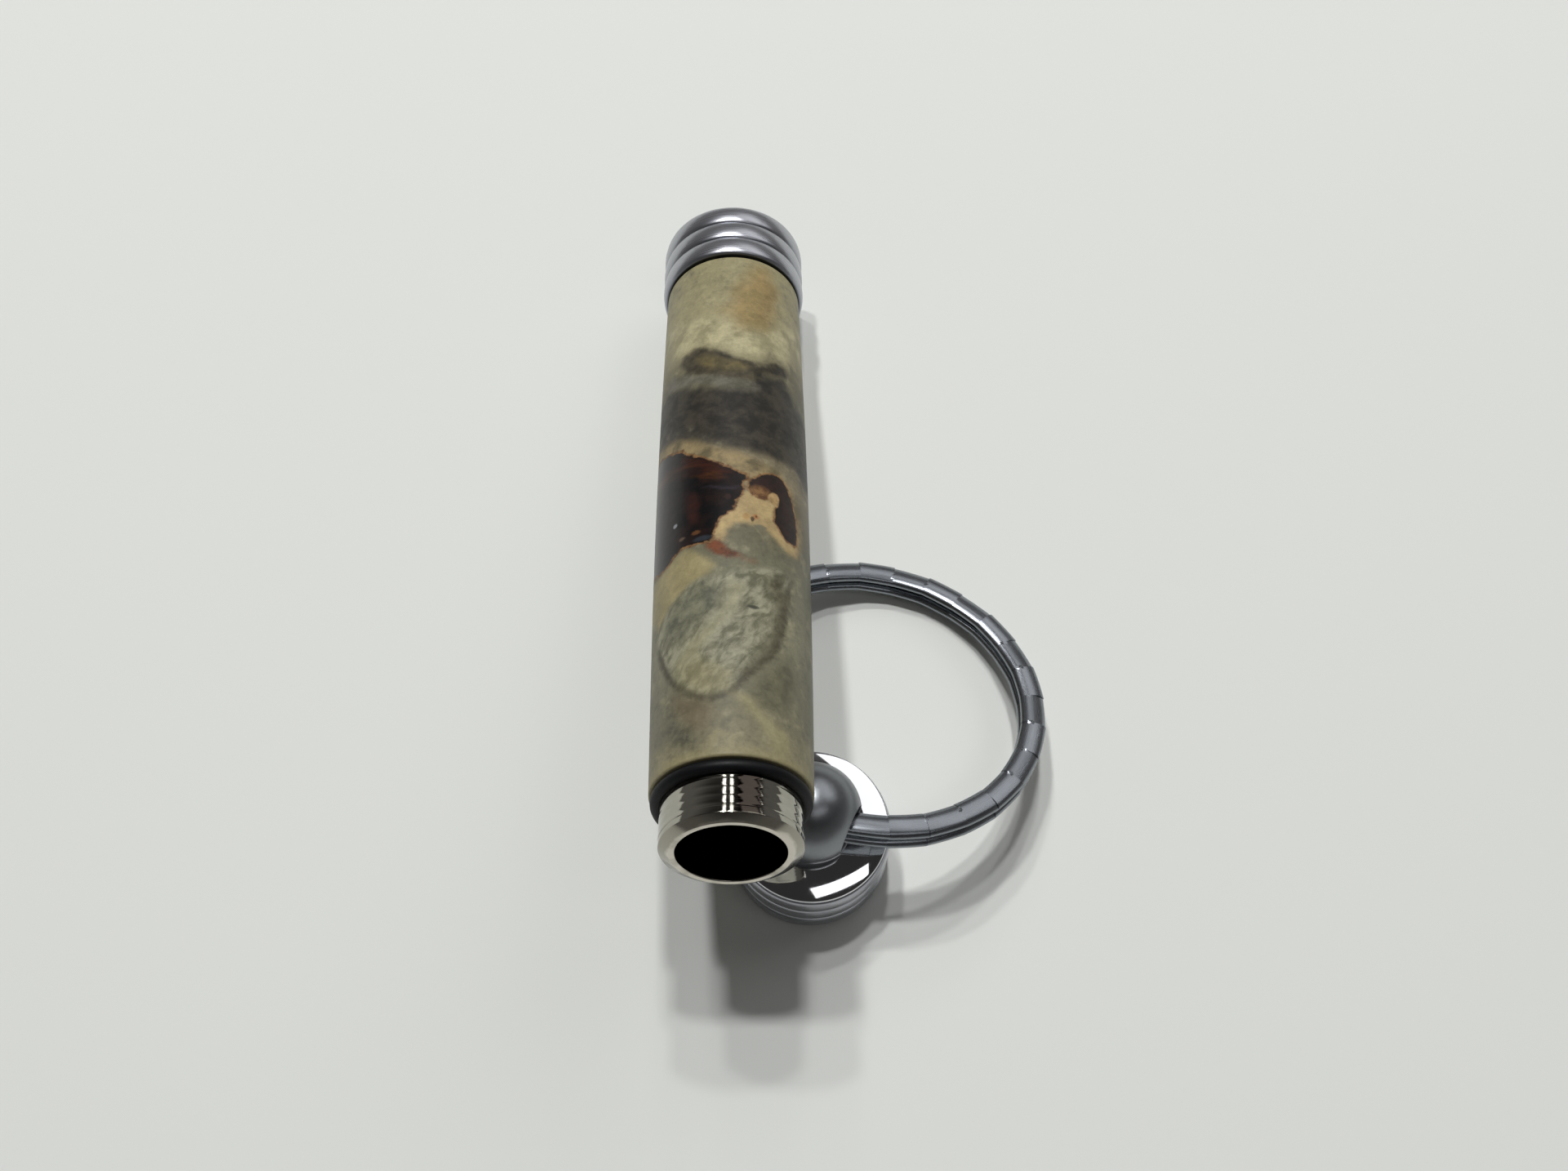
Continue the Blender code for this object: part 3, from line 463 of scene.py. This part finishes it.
nickel, tree, shader = new_finish("bright_nickel_plate")
spot = add(tree, "TexCoord", output="Object")
skin = add(tree, "Attribute", output="Vector", attribute_name="skin")
around, along, _ = add(tree, "SeparateXYZ", {"Vector": skin}).node.outputs
lathe = add(tree, "TexNoise", {"W": along, "Scale": 9.0, "Detail": 6.0, "Roughness": 0.7},
            noise_dimensions="1D")
smear = add(tree, "TexNoise", {"Vector": spot, "Scale": 0.5 * PER_MM, "Detail": 5.0})
handled = add(tree, "Math", {0: smear, 1: 0.6, 2: along}, operation="MULTIPLY_ADD")
face = add(tree, "MapRange", {"Value": handled, "From Min": 0.32, "From Max": 0.46, "To Min": 1.0,
                              "To Max": 0.0})
dull = add(tree, "MapRange", {"Value": handled, "From Min": 0.75, "From Max": 0.95, "To Min": 1.0,
                              "To Max": 0.0})
inside = add(tree, "Attribute", output="Fac", attribute_name="bore")
tone = add(tree, "Mix", {"Factor": smear, "A": ink("#9A978C"), "B": ink("#BAB7AC")}, data_type="RGBA")
# The plate is painted dark brown in a stripe to the right of the top, a painted reflection of the dark room
# there; the stripe's edges follow the lathe lines.
stripe_middle = 2.05
aside = add(tree, "Math", {0: around, 1: stripe_middle}, operation="SUBTRACT")
aside = add(tree, "Math", {0: aside}, operation="ABSOLUTE")
aside = add(tree, "Math", {0: aside, 1: lathe})
painted_reflection_stripe = add(tree, "MapRange", {"Value": aside, "From Min": 1.55, "From Max": 2.0, "To Min": 1.0,
                                 "To Max": 0.0})
tone = add(tree, "Mix", {"Factor": painted_reflection_stripe, "A": tone, "B": ink("#433C37")}, data_type="RGBA")
rubbed = add(tree, "Mix", {"Factor": dull, "A": tone, "B": ink("#A39F93")}, data_type="RGBA")
worn = add(tree, "Mix", {"Factor": face, "A": rubbed, "B": ink("#D2CCC0")}, data_type="RGBA")
# The wall of the bore is painted dark brown: painted shade down in the bore.
dark = add(tree, "Mix", {"Factor": inside, "A": worn, "B": ink("#4A4240")}, data_type="RGBA")
tree.links.new(dark, shader.inputs["Base Color"])
fine = add(tree, "MapRange", {"Value": lathe, "From Min": 0.3, "From Max": 0.7, "To Min": 0.035,
                              "To Max": 0.06})
rough = add(tree, "Mix", {"Factor": dull, "A": fine, "B": 0.15})
tree.links.new(rough, shader.inputs["Roughness"])
bump = add(tree, "Bump", {"Height": lathe, "Strength": 0.15, "Distance": 0.00001})
tree.links.new(bump, shader.inputs["Normal"])
shader.inputs["Metallic"].default_value = 1.0


def bore(spots):
    """1 on the wall of the bore, behind the mouth's rounded edge."""
    wall_slack, edge_end = 0.04, -0.3
    return (np.hypot(spots[:, 0], spots[:, 1]) < mouth_inner + wall_slack) & (spots[:, 2] < edge_end)


settle("coupler_nickel", coupler_shape, barrel_place, nickel, "barrel", "threaded_coupler",
       {"skin": unroll, "bore": bore})

# Seal: a moulded rubber cord ring that sits on the coupler's neck, close against the wood. It is matt
# black with a soft shine where it is stretched, and a little dust.
seal_centre, seal_height, seal_half = 6.44, -4.74, 0.57
rubber, tree, shader = new_finish("moulded_rubber")
spot = add(tree, "TexCoord", output="Object")
dust = add(tree, "TexNoise", {"Vector": spot, "Scale": 2.4 * PER_MM, "Detail": 4.0, "Roughness": 0.7})
spots_of_dust = add(tree, "MapRange", {"Value": dust, "From Min": 0.66, "From Max": 0.78})
tone = add(tree, "Mix", {"Factor": spots_of_dust, "A": ink("#090A0D"), "B": ink("#303238")}, data_type="RGBA")
tree.links.new(tone, shader.inputs["Base Color"])
rough = add(tree, "MapRange", {"Value": dust, "To Min": 0.40, "To Max": 0.62})
tree.links.new(rough, shader.inputs["Roughness"])
bump = add(tree, "Bump", {"Height": dust, "Strength": 0.3, "Distance": 0.00002})
tree.links.new(bump, shader.inputs["Normal"])
shader.inputs["Specular IOR Level"].default_value = 0.2
seal = rounding(seal_centre, seal_height, seal_half, 0, -345, 23)
settle("seal_rubber", turned(seal, 144), barrel_place, rubber, "seal", "o_ring",
       smooth_deg=60.0)

# End cap: turned brass in satin chrome, three half-round beads and a plug pressed into the tube. The
# plate is cool grey, brighter on the crests where it is rubbed, and painted darker down in the grooves as
# painted shade.
bead_count, bead_pitch, bead_crest, bead_depth, bead_fullness = 3, 2.60, 7.74, 0.55, 0.62
bead_foot = bead_crest - bead_depth


def beads(top, steps=16):
    """Outline of the half-round beads running down from top."""
    points = []
    for bead in range(bead_count):
        for turn in np.linspace(0.5 * math.pi, -0.5 * math.pi, steps + 1)[1 if bead else 0:]:
            swell = max(math.cos(turn), 0.0) ** bead_fullness
            points.append((bead_foot + bead_depth * swell,
                           top - bead_pitch * (bead + 0.5) + 0.5 * bead_pitch * math.sin(turn)))
    return points


def crest(spots):
    """How far a bead's surface stands out: 0 in the groove, 1 on the crest."""
    return np.clip((np.hypot(spots[:, 0], spots[:, 1]) - bead_foot) / bead_depth, 0.0, 1.0)


satin, tree, shader = new_finish("satin_chrome_plate")
spot = add(tree, "TexCoord", output="Object")
skin = add(tree, "Attribute", output="Vector", attribute_name="skin")
along = add(tree, "SeparateXYZ", {"Vector": skin}, output="Y")
rubbed = add(tree, "Attribute", output="Fac", attribute_name="crest")
cloud = add(tree, "TexNoise", {"Vector": spot, "Scale": 0.42 * PER_MM, "Detail": 5.0})
# The blasting's real grain is about 0.04 mm; it is drawn at 0.11 mm, coarse enough to show.
blast = add(tree, "TexNoise", {"Vector": spot, "Scale": 9.0 * PER_MM, "Detail": 2.0})
lathe = add(tree, "TexNoise", {"W": along, "Scale": 7.0, "Detail": 5.0}, noise_dimensions="1D")
tone = add(tree, "Mix", {"Factor": cloud, "A": ink("#8A8C94"), "B": ink("#A4A6AE")}, data_type="RGBA")
wear = add(tree, "Math", {0: rubbed, 1: 0.5}, operation="MULTIPLY")
bright = add(tree, "Mix", {"Factor": wear, "A": tone, "B": ink("#C3C4C9")}, data_type="RGBA")
# The grooves are painted dark towards #2E2F34: painted shade where the beads meet.
groove_shade = add(tree, "MapRange", {"Value": rubbed, "From Min": 0.1, "From Max": 0.5, "To Min": 0.9,
                               "To Max": 0.0})
shaded_plate = add(tree, "Mix", {"Factor": groove_shade, "A": bright, "B": ink("#2E2F34")}, data_type="RGBA")
tree.links.new(shaded_plate, shader.inputs["Base Color"])
rough = add(tree, "MapRange", {"Value": lathe, "From Min": 0.3, "From Max": 0.7, "To Min": 0.26,
                               "To Max": 0.34})
tree.links.new(rough, shader.inputs["Roughness"])
relief = add(tree, "Math", {0: blast, 1: 0.5, 2: lathe}, operation="MULTIPLY_ADD")
bump = add(tree, "Bump", {"Height": relief, "Strength": 0.25, "Distance": 0.00001})
tree.links.new(bump, shader.inputs["Normal"])
shader.inputs["Metallic"].default_value = 1.0

end_gap, face_radius, face_round, face_drop, plug_length, plug_lead = 0.30, 6.75, 0.20, 0.10, 7.5, 0.3
end_top = wood_end - end_gap
end_bottom = end_top - bead_count * bead_pitch
end_face = end_bottom - face_drop - face_round
end_cap = [(spigot_radius, end_top), (bead_foot, end_top)] + beads(end_top)[1:]
end_cap += rounding(face_radius, end_bottom - face_drop, face_round, 0, -90, 4)
end_cap += [(radius, end_face) for radius in (5.0, 3.0, 1.2, 0.0)]
end_cap += [(0.0, end_top + plug_length), (spigot_radius - plug_lead, end_top + plug_length),
            (spigot_radius, end_top + plug_length - plug_lead)]
settle("end_cap_beads", turned(end_cap, 160), barrel_place, satin, "barrel", "end_cap",
       {"skin": unroll, "crest": crest})

# Screw cap: a cup of the same turned and satin plated brass, standing on its mouth. It has three beads
# outside, a thread inside and a web across the top that carries the dome and the post.
low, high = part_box("screw_cap")
cap_place = Matrix.Translation((0.5 * (low.x + high.x), 0.5 * (low.y + high.y), 0.0)) @ IN_MM
cap_top = bead_count * bead_pitch
cap_bore, cap_floor, shank_hole, cap_thread_start, cap_thread_end = 6.54, 6.80, 1.85, 0.3, 5.5
mouth_lead, lip_depth, lip_height, thread_lead = 0.15, 0.1, 0.05, 0.05
shell = [(shank_hole, cap_top), (bead_foot, cap_top)] + beads(cap_top)[1:]
shell += [(cap_bore + mouth_lead + lip_depth, 0.0), (cap_bore + mouth_lead, lip_height),
          (cap_bore, mouth_lead + lip_height)]
rows = int((cap_thread_end - cap_thread_start) / pitch * rows_per_pitch)
shell += [(cap_bore, z) for z in np.linspace(cap_thread_start + thread_lead, cap_thread_end, rows)]
shell += [(cap_bore, cap_floor), (shank_hole, cap_floor)]
shell_shape = turned(shell, 160)
thread(shell_shape, cap_thread_start, cap_thread_end + 0.1, cap_bore, -groove_depth)


def cap_crest(spots):
    """The beads' crests outside, and a middling plate inside that gets no painted groove shade."""
    return np.where(np.hypot(spots[:, 0], spots[:, 1]) < bead_foot + 0.01, 0.5, crest(spots))


settle("screw_cap_shell", shell_shape, cap_place, satin, "cap", "screw_cap",
       {"skin": unroll, "crest": cap_crest})

# Dome: a disc of brass turned to a low dome, polished and chromed to a mirror, seated on the cap's web.
# It shows the room sharply, with smudges in its gloss and faintly in its colour.
dome_radius, dome_top, dome_flat, dome_curve = 7.45, cap_top + 1.45, 2.6, 13.0
dome_lip, dome_foot = 0.20, 0.12
mirror, tree, shader = new_finish("mirror_chrome_plate")
spot = add(tree, "TexCoord", output="Object")
smudge = add(tree, "TexNoise", {"Vector": spot, "Scale": 0.3 * PER_MM, "Detail": 6.0, "Roughness": 0.7})
tone = add(tree, "Mix", {"Factor": smudge, "A": ink("#E6E7EB"), "B": ink("#EFF0F3")}, data_type="RGBA")
tree.links.new(tone, shader.inputs["Base Color"])
rough = add(tree, "MapRange", {"Value": smudge, "From Min": 0.35, "From Max": 0.75, "To Min": 0.03,
                               "To Max": 0.07})
tree.links.new(rough, shader.inputs["Roughness"])
shader.inputs["Metallic"].default_value = 1.0
dome = [(shank_hole, cap_top)] + rounding(dome_radius - dome_foot, cap_top + dome_foot, dome_foot, -90, 0, 4)
lip_turn = math.asin((dome_radius - dome_lip - dome_flat) / (dome_curve - dome_lip))
lip_middle = dome_top - dome_curve + (dome_curve - dome_lip) * math.cos(lip_turn)
dome += rounding(dome_radius - dome_lip, lip_middle, dome_lip, 0, 90 - math.degrees(lip_turn), 8)
for turn in np.linspace(lip_turn, 0.0, 30)[1:]:
    dome.append((dome_flat + dome_curve * math.sin(turn), dome_top - dome_curve * (1.0 - math.cos(turn))))
dome.append((shank_hole, dome_top))
settle("dome_chrome", turned(dome, 192), cap_place, mirror, "cap", "cap_dome")

# Ball post: a turned ball with a cross eye drilled through it and a flat round each end of the eye,
# blasted and then chromed, so that light spreads over it softly. Its shank goes down through the dome
# and the web and is riveted over a washer inside the cap.
ring_turn = next(joint for joint in frame["joints"] if joint["name"] == "ring_turn")
coil_centre = Vector(ring_turn["pos_m"])
coil_normal = Vector(ring_turn["axis"]).normalized()
low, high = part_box("ring_post")
ball_radius, ball_rows = 4.71, 56
ball_centre = Vector((0.5 * (low.x + high.x), 0.5 * (low.y + high.y), high.z - 0.001 * ball_radius))
to_ball = ball_centre - coil_centre
coil_x = (to_ball - to_ball.dot(coil_normal) * coil_normal).normalized()
coil_y = coil_normal.cross(coil_x)
eye_axis = Vector((coil_y.x, coil_y.y, 0.0)).normalized()
eye_side = Vector((0.0, 0.0, 1.0)).cross(eye_axis)
eye_radius, flat_at, eye_round = 2.33, 4.02, 0.12
ball = rounding(eye_radius + eye_round, flat_at - eye_round, eye_round, 180, 60, 6)
edge_turn = math.asin(ball[-1][1] / ball_radius) - 0.02
for turn in np.linspace(edge_turn, -edge_turn, ball_rows):
    ball.append((ball_radius * math.cos(turn), ball_radius * math.sin(turn)))
ball += rounding(eye_radius + eye_round, -flat_at + eye_round, eye_round, -60, -180, 6)
ball_shape = turned(ball, 144)
ball_turn = Matrix((eye_side, Vector((0.0, 0.0, 1.0)), eye_axis)).transposed().to_4x4()
ball_local = cap_place.inverted() @ Matrix.Translation(ball_centre) @ ball_turn @ IN_MM
bmesh.ops.transform(ball_shape, matrix=ball_local, verts=ball_shape.verts)
bmesh.ops.bisect_plane(ball_shape, geom=ball_shape.verts[:] + ball_shape.edges[:] + ball_shape.faces[:],
                       dist=1e-6, plane_co=(0, 0, dome_top), plane_no=(0, 0, -1), clear_outer=True)
bmesh.ops.holes_fill(ball_shape, edges=[e for e in ball_shape.edges if e.is_boundary], sides=0)
bmesh.ops.recalc_face_normals(ball_shape, faces=ball_shape.faces)
shank_radius, rivet_radius, rivet_top, rivet_thick, rivet_round = 1.55, 2.45, 6.20, 0.55, 0.25
shank_top, rivet_face = dome_top + 0.25, rivet_top - rivet_thick
shank = [(0.0, shank_top), (shank_radius, shank_top), (shank_radius, rivet_top), (rivet_radius, rivet_top)]
shank += rounding(rivet_radius - rivet_round, rivet_face + rivet_round, rivet_round, 0, -90, 5)
shank += [(0.9, rivet_face), (0.0, rivet_face)]
shank_mesh = bpy.data.meshes.new("shank")
shank_shape = turned(shank, 96)
shank_shape.to_mesh(shank_mesh)
shank_shape.free()
ball_shape.from_mesh(shank_mesh)
bpy.data.meshes.remove(shank_mesh)

matt, tree, shader = new_finish("blasted_chrome_plate")
spot = add(tree, "TexCoord", output="Object")
cloud = add(tree, "TexNoise", {"Vector": spot, "Scale": 0.35 * PER_MM, "Detail": 5.0})
# The blasting's real grain is about 0.04 mm; it is drawn at 0.12 mm, coarse enough to show.
blast = add(tree, "TexNoise", {"Vector": spot, "Scale": 8.0 * PER_MM, "Detail": 3.0, "Roughness": 0.7})
tone = add(tree, "Mix", {"Factor": cloud, "A": ink("#7E8185"), "B": ink("#909397")}, data_type="RGBA")
tree.links.new(tone, shader.inputs["Base Color"])
rough = add(tree, "MapRange", {"Value": blast, "From Min": 0.3, "From Max": 0.7, "To Min": 0.28,
                               "To Max": 0.36})
tree.links.new(rough, shader.inputs["Roughness"])
bump = add(tree, "Bump", {"Height": blast, "Strength": 0.3, "Distance": 0.000012})
tree.links.new(bump, shader.inputs["Normal"])
shader.inputs["Metallic"].default_value = 1.0
settle("post_ball", ball_shape, cap_place, matt, "cap", "ring_post", smooth_deg=35.0)

# Washer: a stamped steel disc between the rivet head and the cap's web, with a rolled edge from the
# punch and concentric marks from where it was turned down under the rivet.
steel, tree, shader = new_finish("stamped_steel")
spot = add(tree, "TexCoord", output="Object")
cloud = add(tree, "TexNoise", {"Vector": spot, "Scale": 0.7 * PER_MM, "Detail": 5.0})
from_axis = add(tree, "Attribute", output="Fac", attribute_name="from_axis")
rings = add(tree, "TexNoise", {"W": from_axis, "Scale": 8.0, "Detail": 4.0}, noise_dimensions="1D")
tone = add(tree, "Mix", {"Factor": cloud, "A": ink("#8B8C8E"), "B": ink("#A5A6A8")}, data_type="RGBA")
tree.links.new(tone, shader.inputs["Base Color"])
rough = add(tree, "MapRange", {"Value": rings, "To Min": 0.2, "To Max": 0.42})
tree.links.new(rough, shader.inputs["Roughness"])
shader.inputs["Metallic"].default_value = 1.0
washer_radius, washer_round, washer_top = 3.60, 0.12, cap_floor
washer = rounding(washer_radius - washer_round, washer_top - washer_round, washer_round, 90, 0, 4)
washer += rounding(washer_radius - washer_round, rivet_top + washer_round, washer_round, 0, -90, 4)
washer += [(shank_hole, rivet_top), (shank_hole, washer_top)]
settle("washer_steel", turned(washer, 96), cap_place, steel, "cap", "post_washer",
       {"from_axis": lambda spots: np.hypot(spots[:, 0], spots[:, 1])})

# Split ring: spring steel wire of rounded section, wound two turns and rolled between toothed wheels,
# then nickel plated. Its flats lean to one side and the other by turns and meet in a hairline step,
# so a highlight on the ring jumps sideways at each one, while the turns swell and sink a little.
coil_outer, wire_wide, wire_thick, turn_gap = 17.5, 2.50, 1.20, 0.16
flats_per_turn, flats, stations_per_flat, hairline = 28, 54.5, 14, 0.002
lean_deg, lean_swing_deg, ledge, squareness, swell_height = -2.0, 3.6, 0.018, 2.2, 0.045
crossover_deg, crossover_at_deg, straightness = 15.0, -67.0, 0.2
middle = coil_outer - 0.5 * wire_wide
section = []
for turn in np.linspace(0.0, TAU, 40, endpoint=False):
    x, z = math.cos(turn), math.sin(turn)
    section.append((0.5 * wire_wide * math.copysign(abs(x) ** (2.0 / squareness), x),
                    0.5 * wire_thick * math.copysign(abs(z) ** (2.0 / squareness), z)))
wire = bmesh.new()
wire_end = wire.faces.new([wire.verts.new((middle + x, 0.0, z)) for x, z in section])
sweep, stations = TAU * flats / flats_per_turn, int(flats * stations_per_flat)
bmesh.ops.spin(wire, geom=[wire_end] + wire_end.edges[:] + wire_end.verts[:], cent=(0, 0, 0), axis=(0, 0, 1),
               dvec=(0, 0, 0), angle=sweep, steps=stations, use_merge=False, use_duplicate=False)
wire.verts.index_update()
wire_run = np.zeros((len(wire.verts), 3))
first = TAU - 0.5 * sweep + math.radians(crossover_at_deg)
for vert in wire.verts:
    x, z = section[vert.index % len(section)]
    at = (first + sweep * (vert.index // len(section)) / stations) * flats_per_turn / TAU
    flat = math.floor(at + 1e-6)
    step = int((at - flat) * stations_per_flat + 1e-6) / (stations_per_flat - 1)
    within = hairline + (1.0 - 2.0 * hairline) * step
    spot_angle = (flat + within) * TAU / flats_per_turn
    angle = spot_angle - math.radians(crossover_at_deg)
    side = 1.0 if flat % 2 else -1.0
    rise = min(1.0, max(0.0, (angle - TAU) / math.radians(crossover_deg) + 0.5))
    rise = (rise * rise * (3.0 - 2.0 * rise) - 0.5) * (wire_thick + turn_gap)
    swing = 0.8 + 0.2 * math.sin(1.7 * (flat % flats_per_turn))
    tilt = math.radians(lean_deg + side * lean_swing_deg * swing)
    bend = (within - 0.5) * TAU / flats_per_turn
    straight = 1.0 + straightness * (bend * bend - (math.pi / flats_per_turn) ** 2 / 3.0)
    out = (middle + x * math.cos(tilt) - z * math.sin(tilt) + ledge * side) * straight
    up = x * math.sin(tilt) + z * math.cos(tilt) + rise + side * (swell_height * (2.0 * within - 1.0) + ledge)
    vert.co = (out * math.cos(spot_angle), out * math.sin(spot_angle), up)
    wire_run[vert.index] = (middle * angle, x, z)
bmesh.ops.recalc_face_normals(wire, faces=wire.faces)
coil_frame = Matrix((coil_x, coil_y, coil_normal)).transposed().to_4x4()
coil_place = Matrix.Translation(coil_centre) @ coil_frame @ IN_MM

plated, tree, shader = new_finish("nickel_plated_spring_wire")
spot = add(tree, "TexCoord", output="Object")
run = add(tree, "Attribute", output="Vector", attribute_name="run")
cloud = add(tree, "TexNoise", {"Vector": spot, "Scale": 0.4 * PER_MM, "Detail": 5.0})
drawn = add(tree, "Mapping", {"Vector": run, "Scale": (0.25, 9.0, 9.0)})
lines = add(tree, "TexNoise", {"Vector": drawn, "Scale": 1.0, "Detail": 4.0})
tone = add(tree, "Mix", {"Factor": cloud, "A": ink("#7E8287"), "B": ink("#90949A")}, data_type="RGBA")
tree.links.new(tone, shader.inputs["Base Color"])
rough = add(tree, "MapRange", {"Value": lines, "From Min": 0.3, "From Max": 0.7, "To Min": 0.22,
                               "To Max": 0.30})
tree.links.new(rough, shader.inputs["Roughness"])
bump = add(tree, "Bump", {"Height": lines, "Strength": 0.25, "Distance": 0.000012})
tree.links.new(bump, shader.inputs["Normal"])
shader.inputs["Metallic"].default_value = 1.0
settle("ring_wire", wire, coil_place, plated, "key_ring", "split_ring",
       {"run": lambda spots: wire_run}, smooth_deg=45.0)

# Floor: a large sheet of pale lacquered board that the object stands on, level and nearly matt.
floor_shape = bmesh.new()
bmesh.ops.create_grid(floor_shape, x_segments=8, y_segments=8, size=4.0)
floor_mesh = bpy.data.meshes.new("floor")
floor_shape.to_mesh(floor_mesh)
floor_shape.free()
floor = bpy.data.objects.new("floor", floor_mesh)
bpy.context.scene.collection.objects.link(floor)
board, _, shader = new_finish("lacquered_board")
shader.inputs["Base Color"].default_value = ink("#DCDEDA")
shader.inputs["Roughness"].default_value = 0.65
shader.inputs["Specular IOR Level"].default_value = 0.2
floor.data.materials.append(board)

# Light: two ceiling fittings behind the part, each with a near and a far lamp and the long tube past
# them, a thin tube far to the right, a skylight behind to the right and a narrow panel almost overhead.
# Each stands at its slopes across and along for one unit of height, and its size is in that unit too.
lamp_height = 1.3
lamps = [("left_near", (-0.22, 0.355), (0.06, 0.05), 0.0, 5.4),
         ("left_far", (-0.22, 0.57), (0.06, 0.05), 0.0, 3.7),
         ("back_near", (0.0, 0.355), (0.06, 0.05), 0.0, 5.0),
         ("back_far", (0.0, 0.57), (0.06, 0.05), 0.0, 3.7),
         ("left_tube", (-0.205, 0.85), (0.07, 0.62), 0.0, 1.3),
         ("back_tube", (0.03, 0.85), (0.07, 0.62), 0.0, 1.3),
         ("right_tube", (1.40, 1.20), (0.05, 1.3), 0.0, 1.2),
         ("skylight", (0.75, 1.15), (0.86, 1.70), 14.0, 9.2),
         ("panel", (0.36, -0.28), (0.68, 0.18), 21.5, 1.0)]
for name, (right, back), size, turn_deg, power in lamps:
    lamp = bpy.data.lights.new(name, "AREA")
    lamp.shape = "RECTANGLE"
    lamp.size, lamp.size_y = size[0] * lamp_height, size[1] * lamp_height
    lamp.energy = power
    holder = bpy.data.objects.new(name, lamp)
    holder.location = rim_centre + Vector((right, back, 1.0)) * lamp_height
    holder.rotation_euler = (0.0, 0.0, math.radians(turn_deg))
    bpy.context.scene.collection.objects.link(holder)
room = bpy.data.worlds.new("room")
bpy.context.scene.world = room
room.use_nodes = True
tree = room.node_tree
background = tree.nodes["Background"]
up = add(tree, "SeparateXYZ", {"Vector": add(tree, "TexCoord", output="Generated")}, output="Z")
walls = add(tree, "MapRange", {"Value": up, "From Min": 0.25, "From Max": 0.75, "To Min": 0.17,
                               "To Max": 0.03}, interpolation_type="SMOOTHSTEP")
tree.links.new(walls, background.inputs["Strength"])
background.inputs["Color"].default_value = ink("#F4F1EE")

# Camera: held over the mouth, tipped 26 degrees towards the barrel's far end.
focal_px, frame_px, sensor_mm, tip_deg = 1917.5, 1920.0, 36.0, 26.0
camera = bpy.data.cameras.new("camera")
camera.sensor_width = sensor_mm
camera.lens = sensor_mm * focal_px / frame_px
camera.clip_start = 0.01
viewer = bpy.data.objects.new("camera", camera)
viewer.location = (-0.0063625, -0.0749356, 0.15219)
viewer.rotation_euler = (math.radians(tip_deg), 0.0, 0.0)
bpy.context.scene.collection.objects.link(viewer)
bpy.context.scene.camera = viewer
bpy.context.scene.view_settings.view_transform = "Standard"
